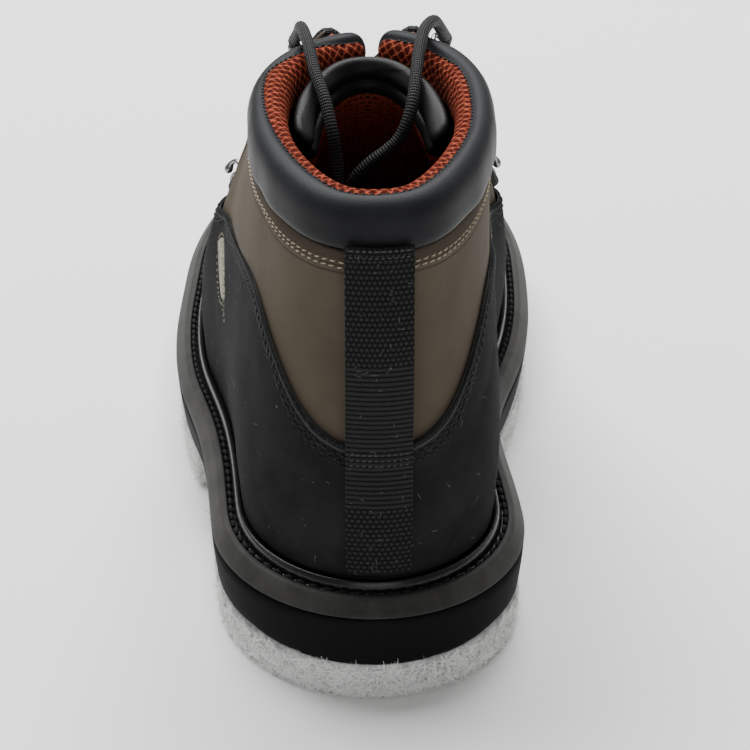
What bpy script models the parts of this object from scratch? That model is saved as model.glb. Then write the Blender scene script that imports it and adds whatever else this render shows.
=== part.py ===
"""Left wading boot: felt pads, rubber midsole, welt, hollow upper, overlay, padded collar, tongue and lacing.

Metres. The toe points to +Y, the inner (medial) side is +X, and the floor is Z = 0.
Shapes are worked out from the back of the heel; one empty moves them so that the heel's rest is the origin.
"""

import math
from collections import namedtuple

import bmesh
import bpy
import numpy as np

# Sizes of the sole
SOLE_LENGTH = 0.325
BALL_WIDTH = 0.1195
HEEL_WIDTH = 0.0926
FELT_THICKNESS = 0.011
MIDSOLE_AT_HEEL = 0.016
MIDSOLE_AT_BALL = 0.0115
MIDSOLE_FLARE = 0.0018
TOE_SPRING = 0.012
ARCH_RISE = 0.0045
HEEL_PAD_LENGTH = 0.094
FOREFOOT_PAD_START = 0.128
WELT_THICKNESS = 0.005
WELT_EDGE = 0.0006
WELT_BEVEL = 0.0034
WELT_FLAT = 0.0016
GROOVE_WIDTH = 0.0022
GROOVE_DEPTH = 0.0011
BEAD_WIDTH = 0.0025
BEAD_HEIGHT = 0.0024
INSOLE_THICKNESS = 0.0045

# Sizes of the upper and what is on it
COLLAR_HEIGHT = 0.150
COLLAR_WIDTH = 0.067
COLLAR_BAND = 0.0153
COLLAR_THICKNESS = 0.0125
COLLAR_TIP = 0.0045
INSTEP_HEIGHT = 0.107
TOE_HEIGHT = 0.0635
UPPER_WALL = 0.002
OVERLAY_WALL = 0.0012
EYESTAY_WALL = 0.0012
TONGUE_THICKNESS = 0.0065
TAB_WIDTH = 0.0185
TAB_THICKNESS = 0.0016
TAB_BOW = 0.0025
TAB_FOLD = 0.0035
LACE_DIAMETER = 0.0036
HOOK_WIRE = 0.0018
HOOK_HEIGHT = 0.0070
LOOP_HEIGHT = 0.0068

# Clearances: between neighbours, between curved layers, and under a flat foot on a curved wall
GAP = 0.0003
LAYER_GAP = 0.0006
FITTING_GAP = 0.0009

# Where the sole stands: the middle of its heel, from the back
HEEL_REST = 0.045

# Ends of the sole's outline: the length over which each is rounded, and how square the toe is
HEEL_ROUND = 0.055
TOE_ROUND = 0.091
TOE_SQUARENESS = 2.3
# Shares of the sole's length between which the heel's height runs down to the ball's, and where the toe lifts
HEEL_ENDS = 0.25
BALL_STARTS = 0.60
SPRING_STARTS = 0.76

SoleRow = namedtuple("SoleRow", "place along centre spread")
# along is a share of the sole's length, centre a share of the ball width,
# and spread runs from the heel's width, 0, to the ball's, 1
SOLE_ROWS = (
    SoleRow("heel back", 0.00, 0.000, 0.00),
    SoleRow("heel", 0.14, -0.004, 0.00),
    SoleRow("heel front", 0.25, -0.014, -0.02),
    SoleRow("waist", 0.34, -0.030, 0.02),
    SoleRow("waist front", 0.40, -0.028, 0.27),
    SoleRow("outer ball back", 0.46, -0.016, 0.62),
    SoleRow("outer ball", 0.53, 0.001, 0.87),
    SoleRow("ball", 0.60, 0.016, 1.00),
    SoleRow("inner ball", 0.70, 0.037, 1.00),
    SoleRow("toe root", 0.80, 0.052, 0.98),
    SoleRow("toes", 0.90, 0.067, 0.96),
    SoleRow("toe tip", 1.00, 0.075, 0.96),
)

UpperRow = namedtuple(
    "UpperRow", "place foot low_out low_up high_out high_fore high_down lean half along level"
)
# Each row is one line up the upper, from the welt to the top edge or to the middle of the vamp.
# foot and along are shares of the sole's length, where the line starts and ends.
# low_out, high_out and high_fore lead it out of its ends, as shares of the ball width,
# low_up and high_down as shares of its rise.
# lean and half place its end from the middle, as shares of the collar's width.
# level is the end's height: 0 at the toe, 1 at the instep, 2 at the collar's seam.
UPPER_ROWS = (
    UpperRow("back", 0.000, 0.025, 0.27, 0.000, 0.033, 0.29, 0.00, 0.000, 0.026, 2.00),
    UpperRow("heel round", 0.030, 0.035, 0.27, -0.013, 0.031, 0.29, 0.00, 0.205, 0.038, 2.01),
    UpperRow("heel quarter", 0.085, 0.056, 0.27, -0.030, 0.025, 0.30, 0.00, 0.360, 0.083, 2.05),
    UpperRow("heel side", 0.160, 0.069, 0.27, -0.038, 0.015, 0.30, 0.01, 0.465, 0.148, 2.11),
    UpperRow("ankle back", 0.235, 0.069, 0.27, -0.018, 0.025, 0.30, 0.02, 0.500, 0.215, 2.17),
    UpperRow("ankle front", 0.305, 0.060, 0.27, 0.025, 0.050, 0.28, 0.03, 0.478, 0.280, 2.22),
    UpperRow("collar turn", 0.365, 0.050, 0.28, 0.107, 0.069, 0.25, 0.05, 0.395, 0.338, 2.37),
    UpperRow("top corner", 0.420, 0.042, 0.28, 0.243, 0.067, 0.21, 0.07, 0.180, 0.388, 2.69),
    UpperRow("upper hooks", 0.470, 0.042, 0.32, 0.176, 0.084, 0.20, 0.06, 0.360, 0.409, 1.83),
    UpperRow("instep", 0.520, 0.042, 0.34, 0.126, 0.084, 0.18, 0.055, 0.460, 0.434, 1.00),
    UpperRow("upper loops", 0.570, 0.038, 0.36, 0.126, 0.067, 0.125, 0.06, 0.455, 0.483, 0.65),
    UpperRow("lower loops", 0.620, 0.038, 0.38, 0.142, 0.025, 0.075, 0.07, 0.410, 0.556, 0.40),
    UpperRow("throat front", 0.665, 0.035, 0.40, 0.160, 0.008, 0.026, 0.08, 0.255, 0.626, 0.23),
    UpperRow("throat end", 0.710, 0.035, 0.42, 0.232, 0.000, 0.007, 0.09, 0.000, 0.657, 0.16),
    UpperRow("vamp", 0.765, 0.030, 0.44, 0.226, 0.004, 0.000, 0.11, 0.000, 0.712, 0.07),
    UpperRow("toe box", 0.830, 0.030, 0.52, 0.222, 0.050, 0.000, 0.13, 0.000, 0.763, 0.00),
    UpperRow("toe round", 0.910, 0.028, 0.60, 0.165, 0.185, 0.000, 0.13, 0.000, 0.763, 0.00),
    UpperRow("toe corner", 0.965, 0.025, 0.66, 0.090, 0.250, 0.000, 0.13, 0.000, 0.763, 0.00),
    UpperRow("toe tip", 1.000, 0.025, 0.68, 0.000, 0.275, 0.000, 0.13, 0.000, 0.763, 0.00),
)
LAST_ROW = len(UPPER_ROWS) - 1
CORNER_ROW = 7
THROAT_END_ROW = 13
TOE_BOX_ROW = 15

EdgeRow = namedtuple("EdgeRow", "row reach")
# The overlay's top edge: how far up each line of the upper it reaches
OVERLAY_EDGE = (
    EdgeRow(0, 0.425),
    EdgeRow(1, 0.475),
    EdgeRow(2, 0.605),
    EdgeRow(3, 0.70),
    EdgeRow(4, 0.675),
    EdgeRow(5, 0.61),
    EdgeRow(6, 0.545),
    EdgeRow(7, 0.47),
    EdgeRow(8, 0.54),
    EdgeRow(9, 0.72),
    EdgeRow(10, 0.94),
    EdgeRow(11, 1.00),
    EdgeRow(LAST_ROW, 1.00),
)
# The overlay's side windows, from row to row of the upper, and how far up its lines they lie and spread
WINDOW_FROM = 5.5
WINDOW_TO = 7.0
WINDOW_MIDDLE = 0.40
WINDOW_SPREAD = 0.055
WINDOW_END_SHARE = 0.2
# Where the top edge is lower than this, the lines through the windows run lower too
EDGE_OVER_WINDOW = 0.47
# How far up each line its foot starts, and the pull tab's foot
OVERLAY_FOOT = 0.02
TAB_FOOT = 0.06

# The eyestay: from row to row, and how far down from the throat's edge
EYESTAY_FROM = 7.0
EYESTAY_TO = 9.5
EYESTAY_REACH = 0.80
EYESTAY_ABOVE = 0.035
EYESTAY_TOP = 0.99

CollarRow = namedtuple("CollarRow", "row inward thick level")
# inward moves the collar's middle in from the upper's edge, and thick is its width there,
# both as shares of its thickness
COLLAR_ROWS = (
    CollarRow(0, 0.45, 1.14, 2.00),
    CollarRow(1, 0.44, 1.12, 2.01),
    CollarRow(2, 0.40, 1.03, 2.05),
    CollarRow(3, 0.35, 0.94, 2.11),
    CollarRow(4, 0.34, 0.90, 2.17),
    CollarRow(5, 0.38, 0.90, 2.22),
    CollarRow(6, 0.68, 0.92, 2.26),
    CollarRow(7, 1.06, 0.94, 2.28),
)
COLLAR_END_ROW = 6.55
# The collar's section: how square it is above and below its middle, 1 being round
COLLAR_ROUND_ABOVE = 0.85
COLLAR_ROUND_BELOW = 0.6

TongueRow = namedtuple("TongueRow", "place along level lean half back down thick")
# Sections across the tongue, from its root to its rim. half, back and down are shares of the collar's
# width: the sides stand half away, and lie back and down from the middle. thick is a share of the thickness.
TONGUE_ROWS = (
    TongueRow("root", 0.695, -0.08, 0.090, 0.30, 0.00, 0.09, 0.60),
    TongueRow("throat end", 0.640, 0.13, 0.080, 0.39, 0.00, 0.15, 0.75),
    TongueRow("lower loops", 0.566, 0.42, 0.075, 0.48, 0.03, 0.29, 0.90),
    TongueRow("upper loops", 0.500, 0.70, 0.065, 0.51, 0.10, 0.27, 1.00),
    TongueRow("instep", 0.446, 1.10, 0.060, 0.465, 0.21, 0.21, 1.00),
    TongueRow("upper hooks", 0.394, 1.62, 0.065, 0.42, 0.33, 0.12, 1.00),
    TongueRow("below collar", 0.351, 2.08, 0.040, 0.355, 0.43, 0.08, 1.00),
    TongueRow("in collar", 0.325, 2.40, 0.025, 0.325, 0.48, 0.09, 1.00),
    TongueRow("rim", 0.317, 2.62, 0.020, 0.322, 0.49, 0.11, 0.95),
    TongueRow("rim top", 0.311, 2.72, 0.020, 0.312, 0.47, 0.12, 0.55),
)

Fitting = namedtuple("Fitting", "kind number row reach laced")
# Lace hooks and loops, from the collar down: the row of the upper that each stands on, how far up its line,
# and whether the lace goes through it
FITTINGS = (
    Fitting("hook", 1, 7.3, 0.945, True),
    Fitting("hook", 2, 8.2, 0.90, True),
    Fitting("hook", 3, 9.25, 0.86, False),
    Fitting("loop", 1, 10.2, 0.84, True),
    Fitting("loop", 2, 11.1, 0.86, True),
    Fitting("loop", 3, 12.0, 0.88, True),
)

WirePoint = namedtuple("WirePoint", "up away thick")
# A hook's wire: a round foot, a stem and a curled arm that ends in a ball.
# up and away are shares of the hook's height, thick of its wire
HOOK_PATH = (
    WirePoint(0.00, 0.00, 3.0),
    WirePoint(0.12, 0.00, 3.0),
    WirePoint(0.16, 0.00, 1.3),
    WirePoint(0.65, 0.00, 1.0),
    WirePoint(0.88, 0.10, 1.0),
    WirePoint(1.00, 0.30, 1.0),
    WirePoint(1.03, 0.52, 1.0),
    WirePoint(0.98, 0.72, 1.5),
    WirePoint(0.92, 0.86, 1.9),
    WirePoint(0.84, 0.97, 1.6),
    WirePoint(0.78, 1.04, 0.7),
)
# How far up a hook's stem the lace lies, and the room inside a loop round the lace
HOOK_LACE_UP = 0.47
LOOP_ROOM = 0.0008
# The lace at a fitting: half the length of its turn, and how far off it passes over the throat's edge
LACE_TURN = 0.0034
LACE_OVER_EDGE = 0.0065
# A loose end has a point every so many lace widths
LACE_SPACING = 2.6
# The last place along the tongue's rows that the lace crosses
LAST_LACED_PLACE = 7.0

RoutePoint = namedtuple("RoutePoint", "x y z")
# Routes of the two loose lace ends, from the top hooks over the collar's rim and down to the insole
LATERAL_END_ROUTE = (
    RoutePoint(-0.0172, 0.1240, 0.1545),
    RoutePoint(-0.0168, 0.1170, 0.1587),
    RoutePoint(-0.0160, 0.1080, 0.1600),
    RoutePoint(-0.0150, 0.0990, 0.1592),
    RoutePoint(-0.0138, 0.0890, 0.1555),
    RoutePoint(-0.0112, 0.0800, 0.1500),
    RoutePoint(-0.0095, 0.0738, 0.1430),
    RoutePoint(-0.0084, 0.0718, 0.1355),
    RoutePoint(-0.0080, 0.0690, 0.1272),
    RoutePoint(-0.0070, 0.0650, 0.1160),
    RoutePoint(-0.0040, 0.0620, 0.1000),
    RoutePoint(0.0000, 0.0620, 0.0790),
    RoutePoint(0.0040, 0.0660, 0.0600),
    RoutePoint(0.0090, 0.0710, 0.0450),
    RoutePoint(0.0160, 0.0760, 0.0350),
    RoutePoint(0.0240, 0.0830, 0.0339),
)
MEDIAL_END_ROUTE = (
    RoutePoint(0.0246, 0.1240, 0.1550),
    RoutePoint(0.0222, 0.1170, 0.1598),
    RoutePoint(0.0190, 0.1080, 0.1608),
    RoutePoint(0.0169, 0.0990, 0.1590),
    RoutePoint(0.0151, 0.0880, 0.1550),
    RoutePoint(0.0137, 0.0800, 0.1500),
    RoutePoint(0.0119, 0.0762, 0.1450),
    RoutePoint(0.0092, 0.0745, 0.1400),
    RoutePoint(0.0052, 0.0738, 0.1365),
    RoutePoint(0.0010, 0.0734, 0.1334),
    RoutePoint(-0.0034, 0.0732, 0.1285),
    RoutePoint(-0.0064, 0.0732, 0.1195),
    RoutePoint(-0.0080, 0.0770, 0.1030),
    RoutePoint(-0.0085, 0.0760, 0.0830),
    RoutePoint(-0.0075, 0.0710, 0.0620),
    RoutePoint(-0.0060, 0.0640, 0.0450),
    RoutePoint(-0.0020, 0.0560, 0.0350),
    RoutePoint(0.0040, 0.0470, 0.0339),
)

# How finely each piece is faceted
OUTLINE_STEPS = 56
UPPER_STEP = 0.5
UPPER_TOP_STEPS = 2
OVERLAY_RISE_STEPS = (2, 1, 3)
COLLAR_SIDES = 12
TONGUE_SIDES = 10
LATERAL = -1
MEDIAL = 1
END_ROUTES = {LATERAL: LATERAL_END_ROUTE, MEDIAL: MEDIAL_END_ROUTE}


def through(places, values, at, odd=False, stops=False):
    """Values of a smooth curve through a table's column, level at its ends unless odd or stops is set."""
    places = np.asarray(places, float)
    values = np.asarray(values, float)
    at = np.asarray(at, float)
    slopes = np.gradient(values, places)
    slopes[0] = slopes[0] if odd else 0.0
    slopes[-1] = slopes[-1] if stops else 0.0
    i = np.clip(np.searchsorted(places, at, side="right") - 1, 0, len(places) - 2)
    span = places[i + 1] - places[i]
    f = np.clip((at - places[i]) / span, 0.0, 1.0)
    start = (1 + 2 * f) * (1 - f) ** 2 * values[i] + f * (1 - f) ** 2 * span * slopes[i]
    end = f * f * (3 - 2 * f) * values[i + 1] + f * f * (f - 1) * span * slopes[i + 1]
    return start + end


def column(rows, place, name, at, odd=False):
    """One named column of a table, read at these places."""
    places = [getattr(row, place) for row in rows]
    values = [getattr(row, name) for row in rows]
    return through(places, values, at, odd)


def outline(turn):
    """(x, y) of the sole's outline. turn is 0 at the heel's back, and 1 or -1 at the toe's tip."""
    turn = (np.asarray(turn, float) + 1) % 2 - 1
    share = (1 - np.cos(np.pi * np.abs(turn))) / 2
    y = share * SOLE_LENGTH
    spread = column(SOLE_ROWS, "along", "spread", share)
    half = (HEEL_WIDTH + (BALL_WIDTH - HEEL_WIDTH) * spread) / 2
    heel = np.clip(1 - y / HEEL_ROUND, 0, 1)
    toe = np.clip(1 - (SOLE_LENGTH - y) / TOE_ROUND, 0, 1)
    half = half * np.sqrt(1 - heel**2) * (1 - toe**TOE_SQUARENESS) ** (1 / TOE_SQUARENESS)
    x = column(SOLE_ROWS, "along", "centre", share) * BALL_WIDTH + np.sign(turn) * half
    return np.stack([x, y], axis=-1)


def outward(turn):
    """The direction straight out of the sole's outline, level with the floor."""
    step = 1e-3
    along = outline(turn + step) - outline(turn - step)
    along /= np.linalg.norm(along, axis=-1, keepdims=True)
    return np.stack([along[..., 1], -along[..., 0]], axis=-1)


def rim(turn, inset):
    """The sole's outline moved in by inset."""
    turn = np.asarray(turn, float)
    return outline(turn) - inset * outward(turn)


def turn_at(share):
    """The turn at which the outline has come this share of the sole's length forward."""
    return np.arccos(np.clip(1 - 2 * np.asarray(share, float), -1, 1)) / np.pi


def spring(y):
    """How far the toe has lifted off the floor at this place."""
    share = np.clip((y / SOLE_LENGTH - SPRING_STARTS) / (1 - SPRING_STARTS), 0, None)
    return TOE_SPRING * share**2


def ease(y, start, end):
    share = np.clip((y / SOLE_LENGTH - start) / (end - start), 0, 1)
    return share * share * (3 - 2 * share)


def under_midsole(y):
    """Height of the midsole's underside, which arches between the two felt pads."""
    middle = (HEEL_PAD_LENGTH + FOREFOOT_PAD_START) / 2
    reach = (FOREFOOT_PAD_START - HEEL_PAD_LENGTH) / 2
    arch = np.clip(1 - ((y - middle) / reach) ** 2, 0, 1)
    return FELT_THICKNESS + GAP + spring(y) + ARCH_RISE * arch


def seat(y):
    """Height of the midsole's top, on which the welt and insole lie."""
    drop = (MIDSOLE_AT_HEEL - MIDSOLE_AT_BALL) * ease(y, HEEL_ENDS, BALL_STARTS)
    return FELT_THICKNESS + MIDSOLE_AT_HEEL - drop + spring(y)


def welt_top(y):
    return seat(y) + GAP + WELT_THICKNESS


def upper_inset():
    """How far inside the sole's outline the upper's outer face stands, with the overlay outside it."""
    return WELT_BEVEL + WELT_FLAT + GROOVE_WIDTH + BEAD_WIDTH + GAP + OVERLAY_WALL + LAYER_GAP


def height(level):
    """The height that a level of the tables stands for."""
    seam = COLLAR_HEIGHT - COLLAR_BAND
    low = TOE_HEIGHT + (INSTEP_HEIGHT - TOE_HEIGHT) * np.clip(level, None, 1)
    return low + (seam - INSTEP_HEIGHT) * np.clip(np.asarray(level) - 1, 0, None)


def line_ends(row):
    """The four points that lead each line of the upper. row is negative on the lateral side."""
    row = np.asarray(row, float)
    side = np.where(row < 0, LATERAL, MEDIAL)
    at = np.abs(row)
    rows = UPPER_ROWS
    index = np.arange(len(rows))

    def read(name, odd=False, last=LAST_ROW):
        values = [getattr(r, name) for r in rows[: last + 1]]
        return through(index[: last + 1], values, np.minimum(at, last), odd, last < LAST_ROW)

    turn = side * turn_at(read("foot"))
    foot = rim(turn, upper_inset())
    low = np.stack([foot[..., 0], foot[..., 1], welt_top(foot[..., 1]) + LAYER_GAP], axis=-1)
    half = read("half", odd=True, last=THROAT_END_ROW)
    x = (read("lean", last=TOE_BOX_ROW) + side * half) * COLLAR_WIDTH
    y = read("along", last=TOE_BOX_ROW) * SOLE_LENGTH
    top = np.stack([x, y, height(read("level", last=TOE_BOX_ROW))], axis=-1)
    rise = top[..., 2] - low[..., 2]
    out = outward(turn) * (read("low_out") * BALL_WIDTH)[..., None]
    lead = np.stack([out[..., 0], out[..., 1], read("low_up") * rise], axis=-1)
    back = np.stack(
        [
            side * read("high_out", odd=True) * BALL_WIDTH,
            read("high_fore") * BALL_WIDTH,
            -read("high_down") * rise,
        ],
        axis=-1,
    )
    return low, low + lead, top + back, top


def skin(row, reach):
    """Points of the upper's outer face. reach is 0 at the welt and 1 at the top edge."""
    reach = np.asarray(reach, float)[..., None]
    a, b, c, d = line_ends(row)
    up = 1 - reach
    return up**3 * a + 3 * up**2 * reach * b + 3 * up * reach**2 * c + reach**3 * d


def skin_normal(row, reach):
    """The direction straight out of the upper's outer face."""
    step = 0.02
    row = np.asarray(row, float)
    reach = np.clip(np.asarray(reach, float), step, 1 - step)
    near = np.clip(row, step - LAST_ROW, LAST_ROW - step)
    across = skin(near + step, reach) - skin(near - step, reach)
    upward = skin(row, reach + step) - skin(row, reach - step)
    normal = np.cross(across, upward)
    return normal / np.linalg.norm(normal, axis=-1, keepdims=True)


def off_skin(row, reach, out):
    """Points this far off the upper's outer face, the same from both sides where they meet over the vamp."""
    row = np.asarray(row, float)
    reach = np.asarray(reach, float)
    row, reach, out = np.broadcast_arrays(row, reach, out)
    normal = skin_normal(row, reach)
    other = skin_normal(-row, reach)
    met = ((np.abs(row) >= THROAT_END_ROW) & (reach > 0.999)) | (np.abs(row) >= LAST_ROW)
    normal = np.where(met[..., None], normal + other, normal)
    pole = (np.abs(row) >= TOE_BOX_ROW) & (reach > 0.999)
    normal = np.where(pole[..., None], np.array([0.0, 0.0, 1.0]), normal)
    normal /= np.linalg.norm(normal, axis=-1, keepdims=True)
    return skin(row, reach) + normal * out[..., None]


def new_material(name, colour, roughness, metallic=0.0):
    material = bpy.data.materials.new(name)
    material.use_nodes = True
    shader = material.node_tree.nodes["Principled BSDF"]
    shader.inputs["Base Color"].default_value = (*colour, 1)
    shader.inputs["Roughness"].default_value = roughness
    shader.inputs["Metallic"].default_value = metallic
    return material


def add_object(name, data, material):
    obj = bpy.data.objects.new(name, data)
    obj.data.materials.append(material)
    obj.parent = boot
    parts.objects.link(obj)
    return obj


def add_mesh(name, points, faces, material):
    """An object from points and faces, with points that meet made one and its faces turned outwards."""
    mesh = bpy.data.meshes.new(name)
    mesh.from_pydata([tuple(point) for point in points], [], faces)
    work = bmesh.new()
    work.from_mesh(mesh)
    bmesh.ops.remove_doubles(work, verts=work.verts, dist=1e-5)
    bmesh.ops.dissolve_degenerate(work, dist=1e-6, edges=work.edges)
    bmesh.ops.recalc_face_normals(work, faces=work.faces)
    work.to_mesh(mesh)
    work.free()
    mesh.shade_smooth()
    mesh.set_sharp_from_angle(angle=math.radians(35))
    return add_object(name, mesh, material)


def add_tube(name, points, diameter, material, radii=None, resolution=2):
    """A cord or wire: a poly curve with a round bevel and filled caps."""
    curve = bpy.data.curves.new(name, "CURVE")
    curve.dimensions = "3D"
    curve.bevel_depth = diameter / 2
    curve.bevel_resolution = resolution
    curve.use_fill_caps = True
    spline = curve.splines.new("POLY")
    spline.points.add(len(points) - 1)
    for i, point in enumerate(points):
        spline.points[i].co = (*point, 1)
        spline.points[i].radius = 1.0 if radii is None else radii[i]
    return add_object(name, curve, material)


def smooth_route(points, spacing):
    """Points a spacing apart on a smooth curve through the route's points."""
    points = np.array(points, float)
    knots = np.arange(len(points))
    ends = np.vstack([2 * points[0] - points[1], points, 2 * points[-1] - points[-2]])
    lengths = np.linalg.norm(np.diff(ends, axis=0), axis=1)
    slopes = ends[2:] - ends[:-2]
    slopes *= (np.minimum(lengths[1:], lengths[:-1]) / np.linalg.norm(slopes, axis=1))[:, None]
    fine = np.linspace(0, len(points) - 1, 40 * len(points))
    i = np.clip(fine.astype(int), 0, len(points) - 2)
    f = (fine - knots[i])[:, None]
    start = (1 + 2 * f) * (1 - f) ** 2 * points[i] + f * (1 - f) ** 2 * slopes[i]
    end = f * f * (3 - 2 * f) * points[i + 1] + f * f * (f - 1) * slopes[i + 1]
    curve = start + end
    travel = np.concatenate([[0], np.cumsum(np.linalg.norm(np.diff(curve, axis=0), axis=1))])
    count = max(2, int(round(travel[-1] / spacing)) + 1)
    even = np.linspace(0, travel[-1], count)
    return np.stack([np.interp(even, travel, curve[:, k]) for k in range(3)], axis=1)


def stack_rings(name, rings, material):
    """A closed slab from rings of the sole's outline, low to high, each an inset and a height by place."""
    turns = np.linspace(-1, 1, OUTLINE_STEPS, endpoint=False)
    count = len(turns)
    points = []
    for inset, level in rings:
        flat = rim(turns, inset)
        points.extend(np.column_stack([flat, level(flat[:, 1])]))
    faces = []
    for ring in range(len(rings) - 1):
        for i in range(count):
            j = (i + 1) % count
            low, high = ring * count, (ring + 1) * count
            faces.append((low + i, low + j, high + j, high + i))
    for base in (0, (len(rings) - 1) * count):
        for i in range(count // 2):
            left, right = base + i, base + (count - i) % count
            faces.append((left, right, base + (count - i - 1) % count, base + i + 1))
    faces = [tuple(dict.fromkeys(face)) for face in faces]
    return add_mesh(name, points, [face for face in faces if len(face) > 2], material)


def cut_block(name, low_y, high_y):
    """A cutter as wide and tall as the sole, between two places along it."""
    bpy.ops.mesh.primitive_cube_add(size=1)
    cutter = bpy.context.object
    cutter.name = name
    cutter.scale = (2 * BALL_WIDTH, high_y - low_y, 4 * FELT_THICKNESS)
    cutter.location = (0, (low_y + high_y) / 2, FELT_THICKNESS / 2)
    cutter.parent = boot
    for collection in cutter.users_collection:
        collection.objects.unlink(cutter)
    cutters.objects.link(cutter)
    cutter.hide_render = True
    cutter.display_type = "WIRE"
    return cutter


def cut_away(obj, cutter):
    boolean = obj.modifiers.new("cut", "BOOLEAN")
    boolean.operation = "DIFFERENCE"
    boolean.object = cutter


def make_outsole():
    """Two felt pads under the midsole, with the bare arch between them."""
    felt_inset = MIDSOLE_FLARE + GAP
    rings = (
        (felt_inset + GAP, lambda y: spring(y)),
        (felt_inset, lambda y: spring(y) + FELT_THICKNESS / 2),
        (felt_inset, lambda y: spring(y) + FELT_THICKNESS),
    )
    heel = stack_rings("heel_felt", rings, felt_material)
    cut_away(heel, cut_block("cut_before_heel", HEEL_PAD_LENGTH, 2 * SOLE_LENGTH))
    forefoot = stack_rings("forefoot_felt", rings, felt_material)
    cut_away(forefoot, cut_block("cut_behind_forefoot", -SOLE_LENGTH, FOREFOOT_PAD_START))


def make_midsole():
    rings = (
        (MIDSOLE_FLARE, under_midsole),
        (MIDSOLE_FLARE / 3, lambda y: (under_midsole(y) + seat(y)) / 2),
        (0.0, seat),
    )
    stack_rings("midsole", rings, rubber_material)


def make_insole():
    inset = upper_inset() + UPPER_WALL + 2 * GAP + LAYER_GAP
    rings = (
        (inset, lambda y: seat(y) + GAP),
        (inset, lambda y: seat(y) + GAP + INSOLE_THICKNESS),
    )
    stack_rings("insole", rings, insole_material)


def make_welt():
    """A moulded strip round the boot: bevel, flat, stitch groove, bead, and the ledge under the upper."""
    groove = WELT_BEVEL + WELT_FLAT
    bead = groove + GROOVE_WIDTH
    ledge = bead + BEAD_WIDTH
    inner = upper_inset() + UPPER_WALL + GAP
    top = WELT_THICKNESS
    section = (
        (0.0, 0.0),
        (0.0, WELT_EDGE),
        (WELT_BEVEL, top),
        (groove, top),
        (groove + GROOVE_WIDTH / 5, top - GROOVE_DEPTH),
        (bead - GROOVE_WIDTH / 10, top - GROOVE_DEPTH),
        (bead, top + BEAD_HEIGHT / 2),
        (bead + BEAD_WIDTH / 3, top + BEAD_HEIGHT),
        (bead + BEAD_WIDTH * 3 / 4, top + BEAD_HEIGHT * 9 / 10),
        (ledge, top),
        (inner, top),
        (inner, 0.0),
    )
    turns = np.linspace(-1, 1, OUTLINE_STEPS, endpoint=False)
    points = []
    for inset, up in section:
        flat = rim(turns, inset)
        points.extend(np.column_stack([flat, seat(flat[:, 1]) + GAP + up]))
    count = len(turns)
    faces = []
    for k in range(len(section)):
        low, high = k * count, (k + 1) % len(section) * count
        for i in range(count):
            j = (i + 1) % count
            faces.append((low + i, low + j, high + j, high + i))
    add_mesh("welt", points, faces, welt_material)


def grid(rows, reaches, out, keep=None):
    """Points and faces of a stretch of the upper's own surface, this far off it."""
    points = off_skin(rows[:, None], reaches, out).reshape(-1, 3)
    wide = reaches.shape[1]
    faces = []
    for i in range(len(rows) - 1):
        for j in range(wide - 1):
            if keep is None or keep(i, j):
                low = i * wide + j
                faces.append((low, low + wide, low + wide + 1, low + 1))
    return points, faces


def add_wall(name, points, faces, wall, outside, material):
    """A sheet made solid by its wall, to the outside or the inside of where it lies."""
    obj = add_sheet(name, points, faces, material)
    solidify = obj.modifiers.new("wall", "SOLIDIFY")
    solidify.thickness = wall
    solidify.offset = 1 if outside else -1
    return obj


def add_sheet(name, points, faces, material):
    """An open sheet whose faces keep the way they were listed, which is outwards."""
    mesh = bpy.data.meshes.new(name)
    mesh.from_pydata([tuple(point) for point in points], [], faces)
    work = bmesh.new()
    work.from_mesh(mesh)
    bmesh.ops.remove_doubles(work, verts=work.verts, dist=2e-5)
    bmesh.ops.delete(work, geom=[v for v in work.verts if not v.link_faces], context="VERTS")
    work.to_mesh(mesh)
    work.free()
    mesh.shade_smooth()
    return add_object(name, mesh, material)


def all_rows():
    return np.arange(-LAST_ROW, LAST_ROW + UPPER_STEP / 2, UPPER_STEP)


def make_upper():
    """The boot's hollow wall. It shares the overlay's lines, so that the two lie evenly one on the other."""
    rows = all_rows()
    overlay = overlay_reaches(rows)
    above = np.linspace(overlay[:, -1], 1, UPPER_TOP_STEPS + 1, axis=1)
    reaches = np.hstack([np.zeros((len(rows), 1)), overlay, above[:, 1:]])
    points, faces = grid(rows, reaches, 0.0)
    add_wall("upper", points, faces, UPPER_WALL, False, upper_material)


def overlay_reaches(rows):
    """Reaches of the overlay's lines: from its foot to its window, across it, and on to its top edge."""
    at = np.abs(rows)
    edge = np.minimum(column(OVERLAY_EDGE, "row", "reach", at), 1)
    inside = (at > WINDOW_FROM) & (at < WINDOW_TO)
    spread = np.where(inside, 1, WINDOW_END_SHARE) * WINDOW_SPREAD
    middle = WINDOW_MIDDLE * np.minimum(1, edge / EDGE_OVER_WINDOW)
    low = middle - spread
    high = middle + spread
    low_steps, middle_steps, high_steps = OVERLAY_RISE_STEPS
    parts_of_line = []
    for k in range(low_steps):
        parts_of_line.append(OVERLAY_FOOT + (low - OVERLAY_FOOT) * k / low_steps)
    for k in range(middle_steps):
        parts_of_line.append(low + (high - low) * k / middle_steps)
    for k in range(high_steps + 1):
        parts_of_line.append(high + (edge - high) * k / high_steps)
    return np.stack(parts_of_line, axis=1)


def make_overlay():
    """The black panel over the upper: counter, quarters, rand and toe in one, with a window on each side."""
    rows = all_rows()
    low_steps, middle_steps, _ = OVERLAY_RISE_STEPS

    def keep(i, j):
        inside = WINDOW_FROM <= abs(rows[i] + UPPER_STEP / 2) <= WINDOW_TO
        return not (inside and low_steps <= j < low_steps + middle_steps)

    reaches = overlay_reaches(rows)
    points, faces = grid(rows, reaches, LAYER_GAP, keep)
    add_wall("overlay", points, faces, OVERLAY_WALL, True, overlay_material)


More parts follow.
